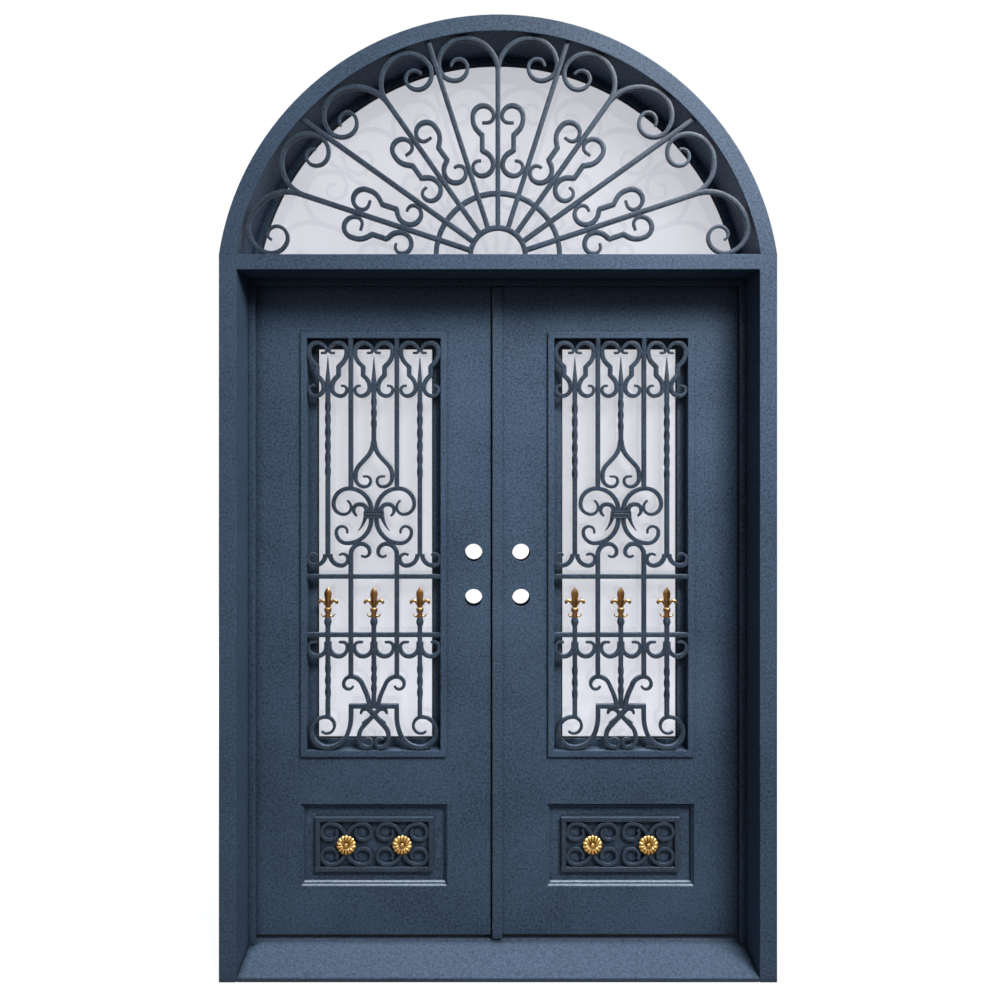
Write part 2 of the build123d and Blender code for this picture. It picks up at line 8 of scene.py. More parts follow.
import logging
from dataclasses import dataclass, replace
from enum import Enum
from functools import partial
from math import acos, ceil, cos, hypot, pi, radians, sin, sqrt
from typing import Any, Callable, Iterable, Sequence

import bmesh
import bpy
from mathutils import Matrix, Vector

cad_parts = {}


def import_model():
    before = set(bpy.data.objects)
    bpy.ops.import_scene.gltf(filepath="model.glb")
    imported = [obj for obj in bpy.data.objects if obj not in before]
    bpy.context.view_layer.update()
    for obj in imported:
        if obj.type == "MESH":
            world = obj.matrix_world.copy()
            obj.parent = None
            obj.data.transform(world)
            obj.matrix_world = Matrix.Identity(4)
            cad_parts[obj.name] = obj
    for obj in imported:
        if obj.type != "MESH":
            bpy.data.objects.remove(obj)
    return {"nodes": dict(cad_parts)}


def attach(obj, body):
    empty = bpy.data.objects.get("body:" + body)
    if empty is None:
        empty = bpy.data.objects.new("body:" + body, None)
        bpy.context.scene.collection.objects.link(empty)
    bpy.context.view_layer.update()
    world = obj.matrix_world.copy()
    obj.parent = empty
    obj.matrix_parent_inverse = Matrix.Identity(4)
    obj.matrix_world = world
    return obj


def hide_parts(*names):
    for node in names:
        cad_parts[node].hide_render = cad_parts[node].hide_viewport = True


MM = 0.001
TURN_STEP = 7.5  # degrees of an arc in one short length
TWIST_STEP = 12.0  # degrees of twist in one short length
TAPER_STEP = 5.0  # millimetres of a tapering bar in one short length
DRAWN_DOUBLE = 0.005  # millimetres between points of a drawn mesh that count as one
CAD_DOUBLE = 0.01  # the same for a CAD node's mesh
FLAT_ANGLE = 0.5  # degrees between faces that count as one flat face
EDGE_ANGLE = 30.0  # degrees between faces from which an edge is eased
LOG = logging.getLogger("entry_door")
FRAME_NODES: dict[str, bpy.types.Object] = {}
Point = tuple[float, float]
Place = tuple[float, float, float]
Step = tuple[float, ...]


class Body(Enum):
    """The bodies that the pieces ride on."""

    FRAME = "frame"
    LEFT = "left_leaf"
    RIGHT = "right_leaf"


class Slot(Enum):
    """The record's material slots."""

    FRAME_PAINT = "frame_paint"
    LEAF_PAINT = "leaf_paint"
    IRON_PAINT = "iron_paint"
    GOLD = "antique_gold"
    GLASS = "clear_glass"
    RUBBER = "seal_rubber"


class Side(Enum):
    """The two leaves, seen from outside."""

    LEFT = -1
    RIGHT = 1

    @property
    def word(self) -> str:
        """The side's name as the nodes have it."""
        return self.name.lower()

    @property
    def body(self) -> Body:
        """The body of this side's leaf."""
        return Body.LEFT if self is Side.LEFT else Body.RIGHT


# Materials


def linear(code: str) -> tuple[float, float, float, float]:
    """Turns an sRGB hex colour to linear light.

    Args:
        code: Six hex digits.

    Returns:
        The linear red, green, blue and an alpha of 1.
    """
    parts = [int(code[i:i + 2], 16) / 255 for i in (0, 2, 4)]
    channels = [c / 12.92 if c <= 0.04045 else ((c + 0.055) / 1.055) ** 2.4 for c in parts]
    return (channels[0], channels[1], channels[2], 1.0)


def add_node(tree: bpy.types.NodeTree, kind: str, inputs: dict[Any, Any] | None = None,
             **settings: Any) -> bpy.types.Node:
    """Adds a node with its settings and links.

    Args:
        tree: The tree that gets the node.
        kind: The node's type name.
        inputs: For each input, by name or number, a value, an output socket, or a node for its first live output.
        settings: The node's own properties.

    Returns:
        The new node.
    """
    node = tree.nodes.new(kind)
    for name, value in settings.items():
        setattr(node, name, value)
    for key, value in (inputs or {}).items():
        if isinstance(value, bpy.types.Node):
            value = next(socket for socket in value.outputs if socket.enabled)
        if isinstance(value, bpy.types.NodeSocket):
            tree.links.new(value, node.inputs[key])
        else:
            node.inputs[key].default_value = value
    return node


Adder = Callable[..., bpy.types.Node]


def new_material(name: str) -> tuple[bpy.types.Material, Adder, bpy.types.NodeSocket]:
    """Makes an empty material.

    Args:
        name: The material's name.

    Returns:
        The material, add_node for its tree, and the place on the object in metres.
    """
    material = bpy.data.materials.new(name)
    material.use_nodes = True
    material.node_tree.nodes.clear()
    node = partial(add_node, material.node_tree)
    return material, node, node("ShaderNodeTexCoord").outputs["Object"]


def set_stops(ramp: bpy.types.Node, *stops: tuple[float, str]) -> None:
    """Gives a colour ramp its stops.

    Args:
        ramp: The ramp's node.
        stops: Positions and sRGB colours, from low to high.
    """
    elements = ramp.color_ramp.elements
    for _ in stops[2:]:
        elements.new(0.5)
    for element, (position, code) in zip(elements, stops):
        element.position, element.color = position, linear(code)


def facing_up(node: Adder) -> bpy.types.NodeSocket:
    """How far a surface faces up: 1 on top of a level face, 0 on an upright one."""
    normal = node("ShaderNodeNewGeometry").outputs["Normal"]
    return node("ShaderNodeSeparateXYZ", {"Vector": normal}).outputs["Z"]


@dataclass(frozen=True)
class PowderCoat:
    """Fine-textured powder coat on steel: baked paint with a sandy grain and a soft satin sheen.

    The grain gives the eye a light and dark speckle. The real one is about 1.5 mm, and it is drawn coarser than
    that, so that it shows from where the door is looked at. A little pale dust and a painted highlight lie on
    whatever faces up, and the hollows are darker with painted shade.
    """

    name: str
    colour: str = "4A5C71"
    shade: str = "2C3848"
    roughness: float = 0.46
    roughness_spread: float = 0.08
    specular: float = 0.12
    grit_mm: float = 6.5
    drift_mm: float = 420.0
    bump_mm: float = 0.16
    # painted shade: the colour that hollows, corners and recesses are darkened towards, with its reach and share
    hollow: str = "10151B"
    hollow_mm: float = 30.0
    hollow_share: float = 0.6
    # partly dust, partly painted highlight: paler colours laid on faces that face up, where light from above falls
    dust: tuple[str, str] = ("52657C", "7A8DA5")
    dust_share: float = 0.6

    def material(self) -> bpy.types.Material:
        """Makes the finish.

        Returns:
            The new material.
        """
        material, node, place = new_material(self.name)
        drift = node("ShaderNodeTexNoise", {"Vector": place, "Scale": 1 / (self.drift_mm * MM), "Detail": 3.0})
        grit = node("ShaderNodeTexNoise", {"Vector": place, "Scale": 1 / (self.grit_mm * MM), "Detail": 1.5,
                                           "Roughness": 0.55})
        speck = node("ShaderNodeMapRange", {"Value": grit, "From Min": 0.25, "From Max": 0.75, "To Min": -0.5,
                                            "To Max": 0.5}, clamp=False)
        tone = node("ShaderNodeMath", {0: drift, 1: speck}, operation="ADD")
        paint = node("ShaderNodeValToRGB", {"Fac": tone})
        set_stops(paint, (0.0, self.shade), (1.0, self.colour))
        # partly dust, partly painted highlight: faces that face up and lie clear of the painted shade are made
        # paler
        facing_up_dust_and_highlight = node("ShaderNodeMapRange", {"Value": facing_up(node), "From Min": 0.4, "From Max": 0.95,
                                              "To Max": self.dust_share})
        # painted shade: ambient occlusion darkens the paint in hollows and recesses, where shade falls
        painted_shade_ao = node("ShaderNodeAmbientOcclusion", {"Distance": self.hollow_mm * MM}, samples=6)
        clear_of_painted_shade = node("ShaderNodeMapRange", {"Value": painted_shade_ao.outputs["AO"], "From Min": 0.35, "From Max": 0.92})
        dust_and_highlight_mask = node("ShaderNodeMath", {0: facing_up_dust_and_highlight, 1: clear_of_painted_shade}, operation="MULTIPLY")
        dust_and_highlight_tone = node("ShaderNodeMath", {0: speck, 1: 0.5}, operation="ADD")
        dust = node("ShaderNodeMix", {"Factor": dust_and_highlight_tone, "A": linear(self.dust[0]), "B": linear(self.dust[1])},
                    data_type="RGBA")
        dust_and_painted_highlight = node("ShaderNodeMix", {"Factor": dust_and_highlight_mask, "A": paint, "B": dust}, data_type="RGBA")
        painted_shade_factor = node("ShaderNodeMapRange", {"Value": clear_of_painted_shade, "To Min": 1 - self.hollow_share})
        shaded = node("ShaderNodeMix", {"Factor": painted_shade_factor, "A": linear(self.hollow), "B": dust_and_painted_highlight}, data_type="RGBA")
        rough = node("ShaderNodeMapRange", {"Value": grit, "To Min": self.roughness - self.roughness_spread,
                                            "To Max": self.roughness + self.roughness_spread})
        bump = node("ShaderNodeBump", {"Height": grit, "Distance": self.bump_mm * MM, "Strength": 1.0})
        coat = node("ShaderNodeBsdfPrincipled", {"Base Color": shaded, "Roughness": rough, "Normal": bump,
                                                 "IOR": 1.5, "Specular IOR Level": self.specular})
        node("ShaderNodeOutputMaterial", {"Surface": coat})
        return material


@dataclass(frozen=True)
class AntiqueGold:
    """Antique gold paint on cast iron.

    It is dark brown with painted shade in the hollows and bright gold on what stands proud, and a painted
    highlight of pale gold lies on what faces up.
    """

    name: str
    bright: str = "BC8E46"
    worn: str = "74491D"
    dark: str = "160E07"
    # painted highlight: the pale gold laid on faces that face up, where light from above falls
    rubbed: str = "F2DDA8"
    rubbed_share: float = 0.45
    hollow_mm: float = 5.0
    patina_mm: float = 9.0
    cast_mm: float = 1.5
    bump_mm: float = 0.15
    metallic: float = 0.8
    roughness: float = 0.32

    def material(self) -> bpy.types.Material:
        """Makes the finish.

        Returns:
            The new material.
        """
        material, node, place = new_material(self.name)
        patina = node("ShaderNodeTexNoise", {"Vector": place, "Scale": 1 / (self.patina_mm * MM), "Detail": 4.0,
                                             "Roughness": 0.6})
        # painted shade: ambient occlusion darkens the gold towards dark brown in its hollows
        painted_shade_ao = node("ShaderNodeAmbientOcclusion", {"Distance": self.hollow_mm * MM}, samples=8)
        clear_of_painted_shade = node("ShaderNodeMapRange", {"Value": painted_shade_ao.outputs["AO"], "From Min": 0.42, "From Max": 0.98})
        mottle = node("ShaderNodeMath", {0: patina, 1: 0.55}, operation="SUBTRACT")
        level = node("ShaderNodeMath", {0: mottle, 1: 0.9, 2: clear_of_painted_shade}, operation="MULTIPLY_ADD")
        paint = node("ShaderNodeValToRGB", {"Fac": level})
        set_stops(paint, (0.1, self.dark), (0.5, self.worn), (0.85, self.bright))
        cast = node("ShaderNodeTexNoise", {"Vector": place, "Scale": 1 / (self.cast_mm * MM), "Detail": 2.0})
        bump = node("ShaderNodeBump", {"Height": cast, "Distance": self.bump_mm * MM, "Strength": 0.5})
        # painted highlight: up-facing faces clear of the painted shade are mixed towards pale gold
        painted_highlight_up = node("ShaderNodeMapRange", {"Value": facing_up(node), "From Min": 0.15, "From Max": 0.75,
                                              "To Max": self.rubbed_share})
        painted_light = node("ShaderNodeMath", {0: painted_highlight_up, 1: clear_of_painted_shade}, operation="MULTIPLY")
        gilt = node("ShaderNodeMix", {"Factor": painted_light, "A": paint, "B": linear(self.rubbed)}, data_type="RGBA")
        gold = node("ShaderNodeBsdfPrincipled", {"Base Color": gilt, "Metallic": self.metallic,
                                                 "Roughness": self.roughness, "Normal": bump})
        node("ShaderNodeOutputMaterial", {"Surface": gold})
        return material


@dataclass(frozen=True)
class FloatGlass:
    """Insulating float glass with a pale coating: clear, with a faint lavender cast and a sharp reflection."""

    name: str
    tint: str = "DFE0E8"
    clearness: float = 0.85
    ripple_mm: float = 260.0
    haze: tuple[float, float] = (0.02, 0.06)

    def material(self) -> bpy.types.Material:
        """Makes the finish.

        Returns:
            The new material.
        """
        material, node, place = new_material(self.name)
        ripple = node("ShaderNodeTexNoise", {"Vector": place, "Scale": 1 / (self.ripple_mm * MM)})
        haze = node("ShaderNodeMapRange", {"Value": ripple, "To Min": self.haze[0], "To Max": self.haze[1]})
        glass = node("ShaderNodeBsdfPrincipled", {"Base Color": linear(self.tint), "Roughness": haze, "IOR": 1.5,
                                                  "Transmission Weight": self.clearness})
        node("ShaderNodeOutputMaterial", {"Surface": glass})
        return material


@dataclass(frozen=True)
class SealRubber:
    """Extruded EPDM rubber: nearly black and matt, with fine drag lines."""

    name: str
    colour: str = "15171A"
    line_mm: float = 2.0
    roughness: tuple[float, float] = (0.6, 0.85)

    def material(self) -> bpy.types.Material:
        """Makes the finish.

        Returns:
            The new material.
        """
        material, node, place = new_material(self.name)
        lines = node("ShaderNodeTexNoise", {"Vector": place, "Scale": 1 / (self.line_mm * MM)})
        rough = node("ShaderNodeMapRange", {"Value": lines, "To Min": self.roughness[0],
                                            "To Max": self.roughness[1]})
        rubber = node("ShaderNodeBsdfPrincipled", {"Base Color": linear(self.colour), "Roughness": rough})
        node("ShaderNodeOutputMaterial", {"Surface": rubber})
        return material


# Bent bars


class Taper(Enum):
    """How a bar's width goes from its start to its end: shares of the length and of the change to the tip."""

    EVEN = ((0.0, 0.0), (1.0, 1.0))
    LATE = ((0.0, 0.0), (0.5, 0.12), (0.78, 0.52), (1.0, 1.0))
    PETAL = ((0.0, 0.0), (0.3, 0.35), (0.62, 0.85), (0.85, 1.0), (0.95, 0.75), (1.0, 0.15))

    def share(self, gone: float) -> float:
        """The share of the change that is reached.

        Args:
            gone: The share of the bar's length so far.

        Returns:
            The share of the change from the bar's width to its tip.
        """
        for (at, before), (to, after) in zip(self.value, self.value[1:]):
            if gone <= to:
                return before + (after - before) * (gone - at) / (to - at)
        return self.value[-1][1]


def to_right(steps: Iterable[Step]) -> tuple[Step, ...]:
    """The same steps with every turn to the other side."""
    return tuple((step[0], -step[1], *step[2:]) for step in steps)


@dataclass(frozen=True)
class Bar:
    """A bent bar in an upright plane, with x to the right and y up.

    Each step is a straight run (length, 0), an arc (radius, turn in degrees, positive to the left) or a twisted
    run (length, 0, twist in degrees).
    """

    start: Point
    heading: float
    steps: tuple[Step, ...]
    width: float
    tip: float
    taper: Taper = Taper.EVEN

    def mirrored(self) -> Bar:
        """The same bar on the other side of the y axis."""
        return replace(self, start=(-self.start[0], self.start[1]), heading=180 - self.heading,
                       steps=to_right(self.steps))

    def moved(self, x: float) -> Bar:
        """The same bar, shifted to the right."""
        return replace(self, start=(self.start[0] + x, self.start[1]))

    def leaned(self, angle: float, foot: float) -> Bar:
        """The same bar beside a ray that leans to the right.

        Args:
            angle: The ray's lean in degrees.
            foot: Height of the point that the rays spread from.

        Returns:
            The leaning bar.
        """
        x, y = self.start
        c, s = cos(radians(angle)), sin(radians(angle))
        return replace(self, start=(x * c + y * s, y * c - x * s + foot), heading=self.heading - angle)

    def half_width(self, gone: float) -> float:
        """Half the bar's width where a share of its length has gone."""
        return (self.width + (self.tip - self.width) * self.taper.share(gone)) / 2

    def pieces(self, turn: float, twist: float, length: float) -> int:
        """How many short lengths a step is drawn with.

        Args:
            turn: The step's turn in degrees.
            twist: Its twist in degrees.
            length: Its length.

        Returns:
            The number of lengths.
        """
        by_taper = 1 if self.taper is Taper.EVEN else ceil(length / TAPER_STEP)
        return max(1, ceil(abs(turn) / TURN_STEP), ceil(abs(twist) / TWIST_STEP), by_taper)

    def stations(self) -> list[tuple[float, float, float, float]]:
        """Points along the bar.

        Returns:
            For each point its x, y, half width and tilt in radians.
        """
        lengths = [step[0] if step[1] == 0 else step[0] * radians(abs(step[1])) for step in self.steps]
        total = sum(lengths)
        (x, y), heading, gone, tilt = self.start, self.heading, 0.0, 0.0
        found = [(x, y, self.half_width(0), 0.0)]
        for step, length in zip(self.steps, lengths):
            size, turn = step[0], step[1]
            twist = step[2] if len(step) > 2 else 0.0
            count = self.pieces(turn, twist, length)
            before = radians(heading)
            for i in range(1, count + 1):
                share = i / count
                if turn == 0:
                    px, py = x + size * share * cos(before), y + size * share * sin(before)
                else:
                    side = 1 if turn > 0 else -1
                    after = radians(heading + turn * share)
                    px = x + side * size * (sin(after) - sin(before))
                    py = y - side * size * (cos(after) - cos(before))
                half = self.half_width((gone + length * share) / total)
                found.append((px, py, half, tilt + radians(twist) * share))
            x, y = found[-1][:2]
            heading, gone, tilt = heading + turn, gone + length, tilt + radians(twist)
        return found


def to_left(*radii: float) -> tuple[Step, ...]:
    """Quarter turns to the left, one for each radius."""
    return tuple((radius, 90.0) for radius in radii)


def pair(bar: Bar) -> list[Bar]:
    """A bar and its mirror image."""
    return [bar, bar.mirrored()]


def straight(x: float, low: float, high: float, width: float, tip: float | None = None) -> Bar:
    """An upright straight bar."""
    return Bar((x, low), 90, ((high - low, 0.0),), width, width if tip is None else tip)


# Meshes


def set_out(name: str, data: bpy.types.ID) -> bpy.types.Object:
    """Links a new object with its data into the scene.

    Args:
        name: The object's name.
        data: Its mesh, curve, lamp or camera.

    Returns:
        The new object.
    """
    thing = bpy.data.objects.new(name, data)
    bpy.context.scene.collection.objects.link(thing)
    return thing


def plain_mesh(source: bpy.types.Object, name: str) -> bpy.types.Object:
    """Turns an object with modifiers, or a curve, into a plain mesh object and removes the source.

    Args:
        source: The object to evaluate.
        name: The new object's name.

    Returns:
        The plain mesh object, at the origin.
    """
    bpy.context.view_layer.update()
    graph = bpy.context.evaluated_depsgraph_get()
    mesh = bpy.data.meshes.new_from_object(source.evaluated_get(graph), preserve_all_data_layers=True,
                                           depsgraph=graph)
    bpy.data.objects.remove(source)
    mesh.name = name
    return set_out(name, mesh)


def mesh_of(name: str, points: Sequence[Sequence[float]], faces: Sequence[Sequence[int]]) -> bpy.types.Object:
    """A mesh object from points and faces.

    Args:
        name: The object's name.
        points: Corner points, in millimetres.
        faces: Corner numbers of each face.

    Returns:
        The object, with its doubles merged and its faces pointing outwards.
    """
    mesh = bpy.data.meshes.new(name)
    mesh.from_pydata([[c * MM for c in point] for point in points], [], faces)
    shell = bmesh.new()
    shell.from_mesh(mesh)
    bmesh.ops.remove_doubles(shell, verts=shell.verts, dist=DRAWN_DOUBLE * MM)
    bmesh.ops.recalc_face_normals(shell, faces=shell.faces)
    shell.to_mesh(mesh)
    shell.free()
    return set_out(name, mesh)


def skin(name: str, rings: Sequence[Sequence[Place]], first: bool = True, last: bool = True,
         looped: bool = False) -> bpy.types.Object:
    """A mesh over closed rings of points, each ring joined to the next.

    Args:
        name: The object's name.
        rings: Rings with the same number of points, in millimetres.
        first: Whether the first ring is filled.
        last: Whether the last ring is filled.
        looped: Whether the last ring joins the first, as round a frame, so that none is filled.

    Returns:
        The new object.
    """
    count = len(rings[0])
    points = [point for ring in rings for point in ring]
    faces: list[tuple[int, ...]] = []
    for r in range(len(rings) if looped else len(rings) - 1):
        a, b = r * count, (r + 1) % len(rings) * count
        faces += [(a + i, a + (i + 1) % count, b + (i + 1) % count, b + i) for i in range(count)]
    if first and not looped:
        faces.append(tuple(range(count)))
    if last and not looped:
        faces.append(tuple(range(len(points) - count, len(points))))
    return mesh_of(name, points, faces)


def rubber_ring(name: str, outer: Sequence[Point], inner: Sequence[Point], front: float,
                back: float) -> bpy.types.Object:
    """A strip that runs round an opening.

    Args:
        name: The object's name.
        outer: The strip's outer edge, as x and z.
        inner: Its inner edge, with as many points.
        front: Depth of its front.
        back: Depth of its back.

    Returns:
        The new object.
    """
    edges = ((outer, front), (inner, front), (inner, back), (outer, back))
    return skin(name, [[(x, depth, z) for x, z in edge] for edge, depth in edges], looped=True)


def smooth(piece: bpy.types.Object, limit: float = 50.0) -> bpy.types.Object:
    """Shades a mesh smooth where its faces meet at a small angle.

    Args:
        piece: The mesh object, which is changed.
        limit: The angle in degrees from which an edge stays sharp.

    Returns:
        The same object.
    """
    piece.data.shade_smooth()
    piece.data.set_sharp_from_angle(angle=radians(limit))
    return piece


def flattened(piece: bpy.types.Object) -> bpy.types.Object:
    """Merges a mesh's doubles and joins faces that lie in one plane.

    Args:
        piece: The mesh object, which is changed.

    Returns:
        The same object.
    """
    shell = bmesh.new()
    shell.from_mesh(piece.data)
    bmesh.ops.remove_doubles(shell, verts=shell.verts, dist=CAD_DOUBLE * MM)
    bmesh.ops.dissolve_limit(shell, angle_limit=radians(FLAT_ANGLE), verts=shell.verts, edges=shell.edges)
    shell.to_mesh(piece.data)
    shell.free()
    return piece


def whole_copy(node: str, name: str) -> bpy.types.Object:
    """A merged copy of a CAD node, with its flat faces whole again.

    Args:
        node: The CAD node.
        name: The new object's name.

    Returns:
        The new object, with no material.
    """
    mesh = FRAME_NODES[node].data.copy()
    mesh.materials.clear()
    return flattened(set_out(name, mesh))


def welded(nodes: Sequence[str], name: str) -> bpy.types.Object:
    """One shell of several CAD nodes, as if welded and ground flush.

    Args:
        nodes: The CAD nodes.
        name: The new object's name.

    Returns:
        The new object.
    """
    whole = whole_copy(nodes[0], name)
    for node in nodes[1:]:
        part = whole_copy(node, f"{node}_part")
        union = whole.modifiers.new("weld", "BOOLEAN")
        union.operation, union.solver, union.object = "UNION", "EXACT", part
        whole = flattened(plain_mesh(whole, name))
        bpy.data.objects.remove(part)
    return whole


def eased_edges(piece: bpy.types.Object, width: float, segments: int = 2) -> bpy.types.Object:
    """Eases a mesh's edges and keeps its flat faces flat to the eye.

    Args:
        piece: The mesh object, which is replaced.
        width: Width of the eased edge, in millimetres.
        segments: How many faces round the edge.

    Returns:
        The new object.
    """
    bevel = piece.modifiers.new("eased edges", "BEVEL")
    bevel.width, bevel.segments, bevel.limit_method = width * MM, segments, "ANGLE"
    bevel.angle_limit = radians(EDGE_ANGLE)
    normals = piece.modifiers.new("flat faces", "WEIGHTED_NORMAL")
    normals.mode, normals.keep_sharp = "FACE_AREA", True
    piece.data.shade_smooth()
    return plain_mesh(piece, piece.name)


def joined(name: str, parts: Sequence[bpy.types.Object]) -> bpy.types.Object:
    """Joins mesh objects into one.

    Args:
        name: The new object's name.
        parts: The objects, which are removed.

    Returns:
        The joined object.
    """
    whole = bmesh.new()
    materials: list[bpy.types.Material] = []
    for part in parts:
        start, shift = len(whole.faces), len(materials)
        materials += list(part.data.materials)
        whole.from_mesh(part.data)
        whole.faces.ensure_lookup_table()
        for face in whole.faces[start:]:
            face.material_index += shift
    mesh = bpy.data.meshes.new(name)
    whole.to_mesh(mesh)
    whole.free()
    for material in materials:
        mesh.materials.append(material)
    for part in parts:
        bpy.data.objects.remove(part)
    return set_out(name, mesh)


def loft(name: str, rings: Sequence[Place], corners: int, power: float = 2.0) -> bpy.types.Object:
    """A closed upright form through rings that are rounder or squarer ovals.

    Args:
        name: The object's name.
        rings: Height, half width and half depth of each ring, in millimetres from the foot up.
        corners: Points in each ring.
        power: 2 for an ellipse, 1 for a lozenge, more for a squarer ring.

    Returns:
        The new object.
    """
    unit = []
    for i in range(corners):
        c, s = cos(2 * pi * i / corners), sin(2 * pi * i / corners)
        reach = (abs(c) ** power + abs(s) ** power) ** (-1 / power)
        unit.append((reach * c, reach * s))
    return skin(name, [[(wide * x, deep * y, height) for x, y in unit] for height, wide, deep in rings])


# Geometry Nodes trees


class Socket(Enum):
    """Kinds of inputs of a tree."""

    GEOMETRY = "NodeSocketGeometry"
    FLOAT = "NodeSocketFloat"
    INT = "NodeSocketInt"
    OBJECT = "NodeSocketObject"
    MATERIAL = "NodeSocketMaterial"


class NodeJig:
    """A Geometry Nodes tree with named inputs that is run once on an object."""

    def __init__(self, name: str, inputs: dict[str, tuple[Socket, Any]]) -> None:
        """Makes the tree's sockets.

        Args:
            name: The tree's name.
            inputs: Kind and default value of each input, by name.
        """
        self.tree = bpy.data.node_groups.new(name, "GeometryNodeTree")
        self.node = partial(add_node, self.tree)
        self.keys: dict[str, str] = {}
        sockets = self.tree.interface
        sockets.new_socket("Geometry", in_out="INPUT", socket_type=Socket.GEOMETRY.value)
        for label, (kind, value) in (inputs | {"Finish": (Socket.MATERIAL, None)}).items():
            socket = sockets.new_socket(label, in_out="INPUT", socket_type=kind.value)
            if value is not None:
                socket.default_value = value
            self.keys[label] = socket.identifier
        sockets.new_socket("Geometry", in_out="OUTPUT", socket_type=Socket.GEOMETRY.value)
        self.inputs = self.node("NodeGroupInput").outputs

    def end(self, geometry: bpy.types.Node) -> NodeJig:
        """Realizes the result and gives it its material.

        Args:
            geometry: The node that makes the result.

        Returns:
            The finished tree.
        """
        real = self.node("GeometryNodeRealizeInstances", {"Geometry": geometry})
        dressed = self.node("GeometryNodeSetMaterial", {"Geometry": real, "Material": self.inputs["Finish"]})
        self.node("NodeGroupOutput", {0: dressed})
        return self

    def run(self, source: bpy.types.Object, name: str, **values: Any) -> bpy.types.Object:
        """Runs the tree on an object.

        Args:
            source: The object that gets the modifier, which is removed with it.
            name: The result's name.
            values: The inputs, by name with _ for a space.

        Returns:
            The result as a plain mesh.
        """
        modifier = source.modifiers.new(self.tree.name, "NODES")
        modifier.node_group = self.tree
        for label, value in values.items():
            modifier[self.keys[label.replace("_", " ")]] = value
        source.update_tag()
        return plain_mesh(source, name)


def forge_jig() -> NodeJig:
    """The tree that sweeps a square section with eased corners along bent bars.

    Returns:
        The tree, which takes a curve whose radii are the bars' half widths.
    """
    jig = NodeJig("forge bent bars", {"Depth ratio": (Socket.FLOAT, 1.0), "Corner ratio": (Socket.FLOAT, 0.2),
                                      "Corner faces": (Socket.INT, 2)})
    depth = jig.node("ShaderNodeMath", {0: jig.inputs["Depth ratio"], 1: 2.0}, operation="MULTIPLY")
    section = jig.node("GeometryNodeCurvePrimitiveQuadrilateral", {"Width": 2.0, "Height": depth})
    eased = jig.node("GeometryNodeFilletCurve", {"Curve": section, "Radius": jig.inputs["Corner ratio"],
                                                 "Count": jig.inputs["Corner faces"]}, mode="POLY")
    return jig.end(jig.node("GeometryNodeCurveToMesh", {
        "Curve": jig.inputs["Geometry"], "Profile Curve": eased, "Scale": jig.node("GeometryNodeInputRadius"),
        "Fill Caps": True}))


def repeat_jig() -> NodeJig:
    """The tree that sets a piece out on points, each turned about the outward axis by its own turn.

    Returns:
        The tree, which takes a mesh of points with an attribute named turn.
    """
    jig = NodeJig("set out copies", {"Piece": (Socket.OBJECT, None)})
    piece = jig.node("GeometryNodeObjectInfo", {"Object": jig.inputs["Piece"]})
    turn = jig.node("GeometryNodeInputNamedAttribute", {"Name": "turn"}, data_type="FLOAT")
    angles = jig.node("ShaderNodeCombineXYZ", {"Y": turn})
    return jig.end(jig.node("GeometryNodeInstanceOnPoints", {
        "Points": jig.inputs["Geometry"], "Instance": piece.outputs["Geometry"],
        "Rotation": jig.node("FunctionNodeEulerToRotation", {0: angles})}))


